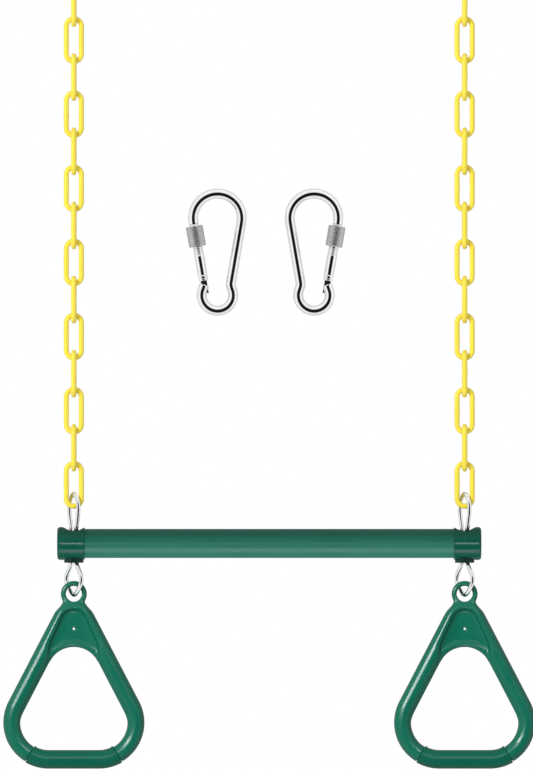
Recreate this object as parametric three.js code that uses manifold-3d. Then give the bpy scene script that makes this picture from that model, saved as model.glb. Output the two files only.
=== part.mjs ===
// Trapeze swing bar with two triangular gym rings, hung on two plastic-coated chains,
// and the two locking snap hooks that clip the chains to a beam.
// Millimetres, +Z up, the front towards -Y. The origin is midway between the two hanging
// points, which are the insides of the chains' top links.

import * as THREE from 'three';
import * as BufferGeometryUtils from 'three/addons/utils/BufferGeometryUtils.js';
import Module from 'manifold-3d';

const wasm = await Module();
wasm.setup();

// ---------------------------------------------------------------- driving dimensions

const GAP = 0.3; // clearance between pieces that touch on the real object

const CHAIN_OFFSET = 213; // from the middle of the bar to each chain
const LINKS_PER_CHAIN = 14;
const LINK_WIRE_R = 2.85; // steel wire with its plastic coat
const LINK_INNER_WIDTH = 10.8;
const LINK_INNER_LENGTH = 40.7;
const LINK_PITCH = LINK_INNER_LENGTH - GAP;
const LINK_BEND_STEPS = 6;

const BAR_DROP = 609.5; // from the hanging points down to the bar's axis
const BAR_HALF_LENGTH = 231; // to the outer faces of the end caps
const TUBE_R = 15.875;
const TUBE_WALL = 1.6;
const CAP_R = 18;
const CAP_LENGTH = 30;
const CAP_END_WALL = 3;
const CAP_EDGE_R = 3;
const CAP_TOP_HOLE_R = 11.5;
const BUSH_HOLE_R = 9.5; // through the tube and the cap's underside
const BUSH_R = 9.2;
const BUSH_BORE_R = 8;
const BUSH_TOP = 12.6; // above the bar's axis
const BUSH_FLANGE_R = 10.7;
const BUSH_FLANGE_DROP = 21; // below the bar's axis

const CONNECTOR_WIRE_R = 2.4;
const CONNECTOR_TURN = 55; // degrees that the connector's plane is turned from the bar
// The connector is one closed wire, pinched where it passes through the bar.
// Half of its centre line: sideways in its own plane, then up from the bar's axis.
const CONNECTOR_HALF = [
  [0, 54.6],
  [4.2, 51.5],
  [7.5, 46.5],
  [8.8, 38.5],
  [8.0, 30],
  [6.2, 22],
  [4.2, 13],
  [3.5, 2],
  [3.6, -10],
  [4.3, -20],
  [8.9, -27.5],
  [14, -35],
  [14.2, -42],
  [10.4, -48],
  [5, -54],
  [0, -56.2],
];

const EYE_DROP = 55; // from the bar's axis down to the centre of a ring's eye
const EYE_HOLE_R = 8.45;
const EYE_R = 14.2;
const EYE_THICKNESS = 8;
const RING_SIDE_ANGLE = 27.5; // each side leans this far from upright, in degrees
const RING_SECTION_R = 9.3;
const RING_CORNER_R = 40.6; // of the centre line
const RING_CORNER_X = 27.6;
const RING_CORNER_DROP = 140.1;
const RING_TOP_ARC_R = 15.5;
const WEB_THICKNESS = 5;
const WEB_ARCH_R = 27.8;
const WEB_ARCH_DROP = 85.3;
const WEB_LIP_R = 3.4;
const WEB_HOLE_R = 2;
const WEB_HOLE_DROP = 38;
const RECESS_TOP = [12, 30]; // radius and drop of the recess's upper end
const RECESS_BOTTOM = [25, 62]; // and of its lower end, under the lip
const RECESS_FOOT = 20; // half width where the recess ends over the lip
const GRIP_R = 10.2;
const GRIP_CORE_R = 7.2;
const GRIP_END_ANGLE = 31; // the grip runs this far up each corner, in degrees
const GRIP_STEPS = 3;
const GRIP_SIDES = 12;

const HOOK_WIRE_R = 5.3;
const HOOK_LEFT_X = -55.9;
const HOOK_RIGHT_X = 48.2;
const HOOK_DROP = 253.9; // from the hanging points down to the centre of the big bend
const HOOK_BIG_R = 26.5; // centre line of the big bend
const HOOK_SMALL_R = 17.3; // centre line of the small bend
const HOOK_SMALL_DROP = 84; // from the big bend's centre to the small bend's
const HOOK_LEAN = 9.8; // lean of the spine and the gate, in degrees
const NOSE_LENGTH = 3; // straight end of the frame, towards the gate
const NOSE_GAP = 0.5;
const GATE_END = 65; // all gate stations are measured down its axis from the big bend
const RIVET_STATION = 61;
const RIVET_R = 1.5;
const FORK_SLOT = 3.6;
const FORK_TOP = 57;
const SPRING_BORE_R = 2.7;
const SPRING_BORE_TOP = 42;
const SPRING_COIL_R = 1.9;
const SPRING_WIRE_R = 0.4;
const SPRING_TURNS = 4;
const PLUNGER_R = 2.3;
const PLUNGER_LENGTH = 4;
const TONGUE_THICKNESS = 3;
const TONGUE_R = 3.5;
const SHOULDER_DROP = 72.9; // from the big bend's centre to the flat under the gate
const SLEEVE_TOP = 4.6;
const SLEEVE_LENGTH = 22.4;
const SLEEVE_R = 9.3;
const SLEEVE_BORE_R = 5.9;
const SLEEVE_CHAMFER = 1;

const ROUND_SIDES = 24; // sides of the large round pieces
const BUSH_SIDES = 16;
const rad = THREE.MathUtils.degToRad;

// ---------------------------------------------------------------- materials

function material(color, roughness, metalness) {
  return new THREE.MeshStandardMaterial({ color, roughness, metalness });
}

const coatedGreen = material(0x175a49, 0.35, 0.1);
const mouldedGreen = material(0x12614c, 0.25, 0);
const darkBush = material(0x10342c, 0.5, 0);
const yellowCoat = material(0xf6dc1e, 0.4, 0);
const zinc = material(0xd8dadb, 0.2, 1);
const brightSteel = material(0xe4e6e8, 0.12, 1);
const knurledSteel = material(0xa9a9a8, 0.45, 1);

// ---------------------------------------------------------------- tools

// A path that passes through its points, one station to each point.
class StationPath extends THREE.Curve {
  constructor(points, closed = false) {
    super();
    this.points = points;
    this.closed = closed;
    this.spans = closed ? points.length : points.length - 1;
  }
  station(index) {
    const count = this.points.length;
    if (this.closed) return this.points[(index + count) % count];
    return this.points[THREE.MathUtils.clamp(index, 0, count - 1)];
  }
  getPoint(t) {
    const place = t * this.spans;
    const index = Math.floor(place + 1e-6);
    return this.station(index).clone().lerp(this.station(index + 1), place - index);
  }
  getPointAt(u) {
    return this.getPoint(u);
  }
  getTangentAt(u) {
    const index = Math.round(u * this.spans);
    return this.station(index + 1).clone().sub(this.station(index - 1)).normalize();
  }
}

// Points of an arc in the XZ plane; angles in degrees from +X towards +Z.
function arc(x, z, radius, from, to, steps) {
  return Array.from({ length: steps + 1 }, (_, i) => {
    const angle = rad(from + ((to - from) * i) / steps);
    return new THREE.Vector3(x + radius * Math.cos(angle), 0, z + radius * Math.sin(angle));
  });
}

function circle(radius, sides) {
  return Array.from({ length: sides }, (_, i) => {
    const angle = (2 * Math.PI * i) / sides;
    return new THREE.Vector2(radius * Math.cos(angle), radius * Math.sin(angle));
  });
}

function signedVolume(geometry) {
  const p = geometry.attributes.position;
  const corner = () => new THREE.Vector3();
  const [a, b, c] = [corner(), corner(), corner()];
  const count = geometry.index ? geometry.index.count : p.count;
  const at = (i) => (geometry.index ? geometry.index.getX(i) : i);
  let sum = 0;
  for (let i = 0; i < count; i += 3) {
    a.fromBufferAttribute(p, at(i));
    b.fromBufferAttribute(p, at(i + 1));
    c.fromBufferAttribute(p, at(i + 2));
    sum += a.dot(b.cross(c));
  }
  return sum / 6;
}

// One closed body with shared vertices and its faces pointing out.
function closedBody(geometry) {
  geometry.deleteAttribute('normal');
  geometry.deleteAttribute('uv');
  const body = BufferGeometryUtils.mergeVertices(geometry, 1e-3);
  if (signedVolume(body) < 0) {
    const index = body.index.array;
    for (let i = 0; i < index.length; i += 3) {
      [index[i], index[i + 1]] = [index[i + 1], index[i]];
    }
  }
  return body;
}

function solid(geometry) {
  const body = closedBody(geometry);
  const vertProperties = new Float32Array(body.attributes.position.array);
  const triVerts = new Uint32Array(body.index.array);
  return new wasm.Manifold(new wasm.Mesh({ numProp: 3, vertProperties, triVerts }));
}

function geometryOf(manifold) {
  const mesh = manifold.getMesh();
  const geometry = new THREE.BufferGeometry();
  geometry.setAttribute('position', new THREE.BufferAttribute(mesh.vertProperties, 3));
  geometry.setIndex(new THREE.BufferAttribute(mesh.triVerts, 1));
  geometry.computeVertexNormals();
  return geometry;
}

// A round rod along an open path, or a pipe where it has a bore.
function rod(points, radius, sides, boreRadius = 0) {
  const section = new THREE.Shape(circle(radius, sides));
  if (boreRadius > 0) section.holes.push(new THREE.Path(circle(boreRadius, sides)));
  const extrudePath = new StationPath(points);
  const options = { steps: points.length - 1, bevelEnabled: false, extrudePath };
  return closedBody(new THREE.ExtrudeGeometry(section, options));
}

// A round rod bent into a closed loop.
function loop(points, radius, sides) {
  const path = new StationPath(points, true);
  return closedBody(new THREE.TubeGeometry(path, points.length, radius, sides, true));
}

// A flat plate in the XZ plane, centred on it, with rounded edges where bevel is given.
function plate(shape, thickness, bevel = 0) {
  const depth = thickness - 2 * bevel;
  const geometry = new THREE.ExtrudeGeometry(shape, {
    depth,
    curveSegments: 8,
    bevelEnabled: bevel > 0,
    bevelThickness: bevel,
    bevelSize: bevel,
    bevelOffset: -bevel,
    bevelSegments: 2,
  });
  geometry.translate(0, 0, -depth / 2);
  geometry.rotateX(Math.PI / 2);
  return geometry;
}

// A cylinder centred on the origin, along X, Y or Z.
function cylinder(axis, radius, length, sides) {
  const geometry = new THREE.CylinderGeometry(radius, radius, length, sides);
  if (axis === 'X') geometry.rotateZ(Math.PI / 2);
  if (axis === 'Z') geometry.rotateX(Math.PI / 2);
  return geometry;
}

// A turned piece along Z from its closed profile of radius and height.
function turned(profile, sides) {
  const points = [...profile, profile[0]].map(([r, z]) => new THREE.Vector2(r, z));
  return new THREE.LatheGeometry(points, sides).rotateX(Math.PI / 2);
}

function mesh(name, geometry, finish) {
  const piece = new THREE.Mesh(geometry, finish);
  piece.name = name;
  return piece;
}

// ---------------------------------------------------------------- chains

function linkGeometry() {
  const bendR = LINK_INNER_WIDTH / 2 + LINK_WIRE_R;
  const bendZ = LINK_INNER_LENGTH / 2 - LINK_INNER_WIDTH / 2;
  const top = arc(0, bendZ, bendR, 0, 180, LINK_BEND_STEPS);
  const bottom = arc(0, -bendZ, bendR, 180, 360, LINK_BEND_STEPS);
  return loop([...top, ...bottom], LINK_WIRE_R, 8);
}

// Every other link is turned a quarter: odd ones edge on to the front, even ones face on.
function chain(side, x) {
  const group = new THREE.Group();
  group.position.x = x;
  for (let i = 0; i < LINKS_PER_CHAIN; i += 1) {
    const number = String(i + 1).padStart(2, '0');
    const link = mesh(`chain_${side}_link_${number}`, linkGeometry(), yellowCoat);
    link.position.z = -LINK_INNER_LENGTH / 2 - i * LINK_PITCH;
    link.rotation.z = i % 2 === 0 ? Math.PI / 2 : 0;
    group.add(link);
  }
  return group;
}

// ---------------------------------------------------------------- bar

function barTube() {
  const length = 2 * (BAR_HALF_LENGTH - CAP_END_WALL - GAP);
  const ends = [new THREE.Vector3(-length / 2, 0, 0), new THREE.Vector3(length / 2, 0, 0)];
  let tube = solid(rod(ends, TUBE_R, ROUND_SIDES, TUBE_R - TUBE_WALL));
  for (const x of [-CHAIN_OFFSET, CHAIN_OFFSET]) {
    const hole = cylinder('Z', BUSH_HOLE_R, 3 * TUBE_R, BUSH_SIDES).translate(x, 0, 0);
    tube = tube.subtract(solid(hole));
  }
  return geometryOf(tube);
}

// A cup over the tube's end: a large hole above for the connector, a smaller one below.
function endCap() {
  const edge = arc(CAP_R - CAP_EDGE_R, -CAP_EDGE_R, CAP_EDGE_R, 90, 0, 3);
  const profile = [
    [0, 0],
    ...edge.map((point) => [point.x, point.z]),
    [CAP_R, -CAP_LENGTH],
    [TUBE_R + GAP, -CAP_LENGTH],
    [TUBE_R + GAP, -CAP_END_WALL],
    [0, -CAP_END_WALL],
  ];
  const points = profile.map(([r, z]) => new THREE.Vector2(r, z));
  const cup = new THREE.LatheGeometry(points, ROUND_SIDES).rotateZ(-Math.PI / 2);
  const middle = BAR_HALF_LENGTH - CHAIN_OFFSET;
  const above = cylinder('Z', CAP_TOP_HOLE_R, 2 * CAP_R, ROUND_SIDES);
  const below = cylinder('Z', BUSH_HOLE_R, 2 * CAP_R, BUSH_SIDES);
  above.translate(-middle, 0, CAP_R);
  below.translate(-middle, 0, -CAP_R);
  return geometryOf(solid(cup).subtract(solid(above)).subtract(solid(below)));
}

// A guide bush for the connector: a pipe up through the bar, and a flange that fits
// the cap's round underside.
function bush() {
  const pipe = turned([
    [BUSH_BORE_R, -BUSH_FLANGE_DROP],
    [BUSH_R, -BUSH_FLANGE_DROP],
    [BUSH_R, BUSH_TOP],
    [BUSH_BORE_R, BUSH_TOP],
  ], BUSH_SIDES);
  const flange = turned([
    [BUSH_BORE_R, -BUSH_FLANGE_DROP],
    [BUSH_FLANGE_R, -BUSH_FLANGE_DROP],
    [BUSH_FLANGE_R, -CAP_R / 2],
    [BUSH_BORE_R, -CAP_R / 2],
  ], BUSH_SIDES);
  const underside = cylinder('X', CAP_R + GAP, 2 * CAP_R, 2 * ROUND_SIDES);
  return geometryOf(solid(flange).subtract(solid(underside)).add(solid(pipe)));
}

function connector() {
  const right = CONNECTOR_HALF.map(([s, z]) => new THREE.Vector3(s, 0, z));
  const left = CONNECTOR_HALF.slice(1, -1).map(([s, z]) => new THREE.Vector3(-s, 0, z));
  const outline = new THREE.CatmullRomCurve3([...right, ...left.reverse()], true);
  const stations = outline.getPoints(32).slice(0, -1);
  return loop(stations, CONNECTOR_WIRE_R, 8);
}

// ---------------------------------------------------------------- gym rings

// The rings are drawn around the centre of the eye.

function ringSideArcs(steps) {
  const lean = RING_SIDE_ANGLE;
  const cornerZ = -RING_CORNER_DROP;
  const reach = RING_CORNER_X * Math.cos(rad(lean)) + cornerZ * Math.sin(rad(lean)) + RING_CORNER_R;
  const topZ = (reach - RING_TOP_ARC_R) / Math.sin(rad(lean));
  return [
    ...arc(0, topZ, RING_TOP_ARC_R, 180 - lean, lean, steps),
    ...arc(RING_CORNER_X, cornerZ, RING_CORNER_R, lean, -90, steps),
    ...arc(-RING_CORNER_X, cornerZ, RING_CORNER_R, 270, 180 - lean, steps),
  ];
}

function gripPath(steps) {
  return [
    ...arc(-RING_CORNER_X, -RING_CORNER_DROP, RING_CORNER_R, 270 - GRIP_END_ANGLE, 270, steps),
    ...arc(RING_CORNER_X, -RING_CORNER_DROP, RING_CORNER_R, 270, 270 + GRIP_END_ANGLE, steps),
  ];
}

function webShape() {
  const lean = RING_SIDE_ANGLE;
  const arch = arc(0, -WEB_ARCH_DROP, WEB_ARCH_R, 180 - lean, lean, 6);
  const side = RING_SECTION_R / 2;
  const outline = [
    ...arch,
    new THREE.Vector3(arch.at(-1).x + side, 0, arch.at(-1).z),
    new THREE.Vector3(EYE_R - 1, 0, -EYE_R - 10),
    new THREE.Vector3(1 - EYE_R, 0, -EYE_R - 10),
    new THREE.Vector3(arch[0].x - side, 0, arch[0].z),
  ];
  return new THREE.Shape(outline.map((point) => new THREE.Vector2(point.x, point.z)));
}

// An oval-section eye: a torus flattened from front to back.
function eye() {
  const sectionR = (EYE_R - EYE_HOLE_R) / 2;
  const torus = new THREE.TorusGeometry(EYE_HOLE_R + sectionR, sectionR, 8, 18);
  return torus.rotateX(Math.PI / 2).scale(1, EYE_THICKNESS / 2 / sectionR, 1);
}

function neckShape() {
  const half = [
    [EYE_HOLE_R + 1, -EYE_HOLE_R + 2],
    [EYE_R - 1, -EYE_R + 3],
    [EYE_R - 1, -EYE_R + 1],
    [EYE_R + 2.6, -EYE_R - 5],
    [EYE_R - 1, -EYE_R - 14],
  ];
  const left = half.map(([x, z]) => [-x, z]).reverse();
  return new THREE.Shape([...half, ...left].map(([x, z]) => new THREE.Vector2(x, z)));
}

// The web is recessed front and back inside an outline that widens downwards.
function recessShape() {
  const [topR, topDrop] = RECESS_TOP;
  const [bottomR, bottomDrop] = RECESS_BOTTOM;
  const lean = THREE.MathUtils.radToDeg(Math.asin((bottomR - topR) / (bottomDrop - topDrop)));
  const lipR = WEB_ARCH_R + 2 * WEB_LIP_R;
  const lipReach = THREE.MathUtils.radToDeg(Math.acos(RECESS_FOOT / lipR));
  const outline = [
    ...arc(0, -topDrop, topR, -lean, 180 + lean, 6),
    ...arc(0, -WEB_ARCH_DROP, lipR, 180 - lipReach, lipReach, 5),
  ];
  return new THREE.Shape(outline.map((point) => new THREE.Vector2(point.x, point.z)));
}

function ring() {
  const frame = solid(loop(ringSideArcs(9), RING_SECTION_R, 10));
  const web = solid(plate(webShape(), WEB_THICKNESS));
  const lip = solid(rod(arc(0, -WEB_ARCH_DROP, WEB_ARCH_R + WEB_LIP_R, 165, 15, 6), WEB_LIP_R, 6));
  const neck = solid(plate(neckShape(), EYE_THICKNESS, 2));
  const eyeHole = solid(cylinder('Y', EYE_HOLE_R, 4 * RING_SECTION_R, 16));
  const webHole = cylinder('Y', WEB_HOLE_R, 2 * RING_SECTION_R, 8);
  webHole.translate(0, 0, -WEB_HOLE_DROP);
  const gripSeat = solid(rod(gripPath(GRIP_STEPS), GRIP_R + 2, GRIP_SIDES, GRIP_CORE_R));
  const whole = frame.add(web).add(lip).add(neck).subtract(eyeHole).add(solid(eye()));
  const depth = 2 * RING_SECTION_R;
  const recess = [-1, 1].map((face) => {
    const cut = plate(recessShape(), depth);
    return solid(cut.translate(0, (face * (depth + WEB_THICKNESS)) / 2, 0));
  });
  const hollowed = whole.subtract(recess[0]).subtract(recess[1]);
  return geometryOf(hollowed.subtract(solid(webHole)).subtract(gripSeat));
}

// A soft pipe around the bottom of a ring, a hair shorter than its seat at each end.
function ringGrip() {
  const path = gripPath(GRIP_STEPS);
  const back = GAP / RING_CORNER_R;
  const inward = (point, end) => {
    const centre = new THREE.Vector3(end * RING_CORNER_X, 0, -RING_CORNER_DROP);
    const spoke = point.clone().sub(centre);
    return spoke.applyAxisAngle(new THREE.Vector3(0, 1, 0), end * back).add(centre);
  };
  path[0] = inward(path[0], -1);
  path[path.length - 1] = inward(path.at(-1), 1);
  return rod(path, GRIP_R, GRIP_SIDES, GRIP_CORE_R + GAP);
}

// ---------------------------------------------------------------- snap hooks

// The hooks are drawn around the centre of the big bend, with the gate on the -X side.

const gateDown = new THREE.Vector3(Math.sin(rad(HOOK_LEAN)), 0, -Math.cos(rad(HOOK_LEAN)));
const gateStart = new THREE.Vector3(
  -HOOK_BIG_R * Math.cos(rad(HOOK_LEAN)), 0, -HOOK_BIG_R * Math.sin(rad(HOOK_LEAN)),
);

// A point on the gate's axis, by its station.
function onGate(station) {
  return gateStart.clone().addScaledVector(gateDown, station);
}

// Turns a piece drawn along Z, with station 0 at the origin, onto the gate's axis.
function toGateAxis(geometry) {
  geometry.rotateY(rad(-HOOK_LEAN));
  return geometry.translate(gateStart.x, gateStart.y, gateStart.z);
}

function hookPath() {
  const bigBend = arc(0, 0, HOOK_BIG_R, 180 + HOOK_LEAN, -HOOK_LEAN, 11);
  const smallBend = arc(0, -HOOK_SMALL_DROP, HOOK_SMALL_R, 12, -192, 9);
  const shoulder = onGate((SHOULDER_DROP + gateStart.z) / -gateDown.z);
  const neck = shoulder.clone().setX(-shoulder.x);
  return [onGate(NOSE_LENGTH), ...bigBend, neck, ...smallBend, shoulder];
}

function hookFrame() {
  const wire = solid(rod(hookPath(), HOOK_WIRE_R, 10));
  const length = HOOK_SMALL_DROP - HOOK_WIRE_R;
  const stadium = new THREE.Shape();
  stadium.absarc(0, -RIVET_STATION, TONGUE_R, 0, Math.PI, false);
  stadium.lineTo(-TONGUE_R, -length);
  stadium.lineTo(TONGUE_R, -length);
  const tongue = solid(toGateAxis(plate(stadium, TONGUE_THICKNESS)));
  return geometryOf(wire.add(tongue).subtract(rivetHole()));
}

function rivetHole() {
  const hole = cylinder('Y', RIVET_R + GAP / 2, 4 * HOOK_WIRE_R, 12);
  return solid(toGateAxis(hole.translate(0, 0, -RIVET_STATION)));
}

function hookGate() {
  const top = NOSE_LENGTH + NOSE_GAP;
  const body = cylinder('Z', HOOK_WIRE_R, GATE_END - top, 12).translate(0, 0, -(GATE_END + top) / 2);
  const slotHeight = GATE_END - FORK_TOP;
  const slot = new THREE.BoxGeometry(4 * HOOK_WIRE_R, FORK_SLOT, 2 * slotHeight);
  slot.translate(0, 0, -GATE_END);
  const boreHeight = FORK_TOP - SPRING_BORE_TOP + 1;
  const bore = cylinder('Z', SPRING_BORE_R, boreHeight, 10);
  bore.translate(0, 0, -SPRING_BORE_TOP - boreHeight / 2);
  const parts = [slot, bore].map((geometry) => solid(toGateAxis(geometry)));
  const blank = solid(toGateAxis(body));
  return geometryOf(blank.subtract(parts[0]).subtract(parts[1]).subtract(rivetHole()));
}

function gatePin() {
  const pin = cylinder('Y', RIVET_R, 2 * HOOK_WIRE_R + GAP, 12);
  return toGateAxis(pin.translate(0, 0, -RIVET_STATION));
}

// The spring sits in the gate's bore and presses the plunger onto the frame's tongue.
function gateSpring() {
  const top = SPRING_BORE_TOP + SPRING_WIRE_R + GAP;
  const bottom = FORK_TOP - PLUNGER_LENGTH - SPRING_WIRE_R - GAP;
  const steps = SPRING_TURNS * 7;
  const points = Array.from({ length: steps + 1 }, (_, i) => {
    const angle = (2 * Math.PI * SPRING_TURNS * i) / steps;
    const z = -top - ((bottom - top) * i) / steps;
    return new THREE.Vector3(SPRING_COIL_R * Math.cos(angle), SPRING_COIL_R * Math.sin(angle), z);
  });
  return toGateAxis(rod(points, SPRING_WIRE_R, 4));
}

function gatePlunger() {
  const plunger = cylinder('Z', PLUNGER_R, PLUNGER_LENGTH, 10);
  return toGateAxis(plunger.translate(0, 0, -FORK_TOP + PLUNGER_LENGTH / 2));
}

function lockSleeve() {
  const sleeve = turned([
    [SLEEVE_BORE_R, -SLEEVE_TOP],
    [SLEEVE_R - SLEEVE_CHAMFER, -SLEEVE_TOP],
    [SLEEVE_R, -SLEEVE_TOP - SLEEVE_CHAMFER],
    [SLEEVE_R, -SLEEVE_TOP - SLEEVE_LENGTH + SLEEVE_CHAMFER],
    [SLEEVE_R - SLEEVE_CHAMFER, -SLEEVE_TOP - SLEEVE_LENGTH],
    [SLEEVE_BORE_R, -SLEEVE_TOP - SLEEVE_LENGTH],
  ], 16);
  return toGateAxis(closedBody(sleeve));
}

function snapHook(side, x, turn) {
  const group = new THREE.Group();
  group.position.set(x, 0, -HOOK_DROP);
  group.rotation.z = turn;
  group.add(
    mesh(`hook_${side}_frame`, hookFrame(), brightSteel),
    mesh(`hook_${side}_gate`, hookGate(), brightSteel),
    mesh(`hook_${side}_gate_pin`, gatePin(), brightSteel),
    mesh(`hook_${side}_spring`, gateSpring(), zinc),
    mesh(`hook_${side}_plunger`, gatePlunger(), zinc),
    mesh(`hook_${side}_lock_sleeve`, lockSleeve(), knurledSteel),
  );
  return group;
}

// ---------------------------------------------------------------- assembly

function barEnd(side, x) {
  const group = new THREE.Group();
  group.position.set(x, 0, -BAR_DROP);
  const cap = mesh(`end_cap_${side}`, endCap(), coatedGreen);
  cap.position.x = Math.sign(x) * (BAR_HALF_LENGTH - CHAIN_OFFSET);
  cap.rotation.z = x < 0 ? Math.PI : 0;
  const wire = mesh(`connector_${side}`, connector(), zinc);
  wire.rotation.z = rad(-CONNECTOR_TURN);
  const gymRing = mesh(`ring_${side}`, ring(), mouldedGreen);
  gymRing.position.z = -EYE_DROP;
  const grip = mesh(`ring_${side}_grip`, ringGrip(), mouldedGreen);
  grip.position.z = -EYE_DROP;
  group.add(cap, mesh(`bush_${side}`, bush(), darkBush), wire, gymRing, grip);
  return group;
}

const swing = new THREE.Group();
const tube = mesh('bar_tube', barTube(), coatedGreen);
tube.position.z = -BAR_DROP;
swing.add(
  chain('left', -CHAIN_OFFSET),
  chain('right', CHAIN_OFFSET),
  tube,
  barEnd('left', -CHAIN_OFFSET),
  barEnd('right', CHAIN_OFFSET),
  snapHook('left', HOOK_LEFT_X, 0),
  snapHook('right', HOOK_RIGHT_X, Math.PI),
);

export default swing;
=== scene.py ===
"""Finished surfaces, materials and studio for a trapeze swing bar with gym rings.

The shapes are worked out in millimetres in the part's own frame, +Z up and the front
towards -Y, and become metres when a mesh is made. The add-on is laid out as one
operator to each group of like pieces, and is run as a script.
"""

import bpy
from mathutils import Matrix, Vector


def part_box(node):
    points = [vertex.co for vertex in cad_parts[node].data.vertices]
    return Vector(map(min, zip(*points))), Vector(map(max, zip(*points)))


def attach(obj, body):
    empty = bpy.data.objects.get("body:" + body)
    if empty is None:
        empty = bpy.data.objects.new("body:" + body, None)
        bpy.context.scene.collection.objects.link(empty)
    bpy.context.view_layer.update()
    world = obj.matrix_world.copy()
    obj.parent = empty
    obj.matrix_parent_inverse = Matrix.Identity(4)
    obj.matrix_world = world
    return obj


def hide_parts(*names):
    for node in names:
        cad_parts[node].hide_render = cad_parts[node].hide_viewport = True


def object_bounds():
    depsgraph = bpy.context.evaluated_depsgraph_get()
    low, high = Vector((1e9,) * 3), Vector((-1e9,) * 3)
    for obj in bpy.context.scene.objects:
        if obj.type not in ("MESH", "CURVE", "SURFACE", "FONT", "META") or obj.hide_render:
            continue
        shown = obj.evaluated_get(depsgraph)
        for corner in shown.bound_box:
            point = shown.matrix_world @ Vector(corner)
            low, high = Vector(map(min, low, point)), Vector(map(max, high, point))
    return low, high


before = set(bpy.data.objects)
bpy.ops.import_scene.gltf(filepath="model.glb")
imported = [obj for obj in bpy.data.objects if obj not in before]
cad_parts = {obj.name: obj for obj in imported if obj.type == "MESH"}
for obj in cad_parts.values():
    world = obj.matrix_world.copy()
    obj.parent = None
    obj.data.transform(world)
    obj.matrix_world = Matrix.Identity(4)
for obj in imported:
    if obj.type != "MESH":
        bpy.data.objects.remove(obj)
CAD_BOX = [list(corner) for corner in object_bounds()]

import math

import bpy
import numpy as np
from mathutils import Quaternion, Vector

bl_info = {
    "name": "Trapeze Swing Bar",
    "version": (1, 0, 0),
    "blender": (4, 5, 0),
    "location": "3D View > Sidebar > Swing Bar",
    "description": "Makes the surfaces and finishes of a trapeze bar, its rings, chains and hooks",
    "category": "Object",
}

MM = 1000.0  # millimetres in a metre
TAU = 2 * math.pi
SIDES = {"left": -1, "right": 1}
LINKS_PER_CHAIN = 14


def node_box(node):
    """Lowest and highest corners of a CAD node, in millimetres."""
    low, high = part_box(node)
    return np.array(low) * MM, np.array(high) * MM


BAR_LOW, BAR_HIGH = node_box("bar_tube")
BAR_Z = (BAR_LOW[2] + BAR_HIGH[2]) / 2


# ---------------------------------------------------------------- meshes


def new_piece(name, points, faces, body, node, slot, normals=None):
    """One finished piece: points in millimetres, faces as rows of corner numbers.

    The signed volume is a sixth of the sum of a . (b x c) over a fan of every face;
    where it is negative the faces are turned round, so that they point outwards.
    """
    points = np.asarray(points, float)
    groups = [np.asarray(group) for group in faces if len(group)]
    volume = 0.0
    for group in groups:
        a, b = points[group[:, 0]], points[group[:, 1]]
        for k in range(2, group.shape[1]):
            c = points[group[:, k]]
            volume += np.einsum("ij,ij->", a, np.cross(b, c))
            b = c
    if volume < 0:
        groups = [group[:, ::-1] for group in groups]
    mesh = bpy.data.meshes.new(name)
    rows = [row for group in groups for row in group.tolist()]
    mesh.from_pydata((points / MM).tolist(), [], rows)
    mesh.polygons.foreach_set("use_smooth", np.ones(len(rows), bool))
    mesh.update()
    if normals is not None:
        mesh.normals_split_custom_set_from_vertices(normals.tolist())
    piece = bpy.data.objects.new(name, mesh)
    bpy.context.scene.collection.objects.link(piece)
    if body:
        finish_piece(piece, body, node, slot)
    return piece


def finish_piece(piece, body, node, slot):
    """Hangs a piece on its body in the place of its CAD node, in its slot's finish."""
    piece.data.materials.clear()
    piece.data.materials.append(finish(slot))
    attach(piece, body)
    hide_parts(node)


def grid_faces(rows, columns, wrap_rows):
    """Quads of a grid whose columns wrap round, and whose rows do where asked."""
    number = np.arange(rows * columns).reshape(rows, columns)
    right = np.roll(number, -1, axis=1)
    if wrap_rows:
        return np.stack(
            [number, right, np.roll(right, -1, axis=0), np.roll(number, -1, axis=0)], -1
        ).reshape(-1, 4)
    return np.stack([number[:-1], right[:-1], right[1:], number[1:]], -1).reshape(-1, 4)


def shell(name, grid, wrap_rows=False, body=None, node=None, slot=None):
    """A closed piece from a grid of points, rows by columns.

    The columns run round the section. Rows that don't wrap are closed at both ends by
    a fan of triangles to the middle of the end row.
    """
    rows, columns, _ = grid.shape
    points = grid.reshape(-1, 3)
    faces = [grid_faces(rows, columns, wrap_rows)]
    if not wrap_rows:
        ends = np.array([grid[0].mean(0), grid[-1].mean(0)])
        points = np.concatenate([points, ends])
        ring = np.arange(columns)
        after = np.roll(ring, -1)
        last = (rows - 1) * columns
        first_pole = np.full(columns, rows * columns)
        faces.append(np.stack([first_pole, after, ring], -1))
        faces.append(np.stack([first_pole + 1, last + ring, last + after], -1))
    return new_piece(name, points, faces, body, node, slot)


def swept(centre, inward, radius, sides):
    """Grid of a round section carried along a path in the XZ plane.

    Point (i, j) is centre_i + radius_ij (cos a_j inward_i + sin a_j Y), where a_j runs
    once round the section and radius may change along the path and round it.
    """
    angle = np.arange(sides) * TAU / sides
    radius = np.broadcast_to(np.asarray(radius, float), (len(centre), sides))[..., None]
    front = np.array([0.0, 1.0, 0.0])
    spoke = (
        np.cos(angle)[None, :, None] * inward[:, None, :]
        + np.sin(angle)[None, :, None] * front
    )
    return centre[:, None, :] + radius * spoke


def along(points, closed=False):
    """Unit tangents of a path, and its in-plane normals, the tangent turned a quarter."""
    if closed:
        step = np.roll(points, -1, axis=0) - np.roll(points, 1, axis=0)
    else:
        step = np.gradient(points, axis=0)
    tangent = step / np.linalg.norm(step, axis=1)[:, None]
    normal = np.stack([tangent[:, 2], np.zeros(len(tangent)), -tangent[:, 0]], -1)
    return tangent, normal


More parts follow.
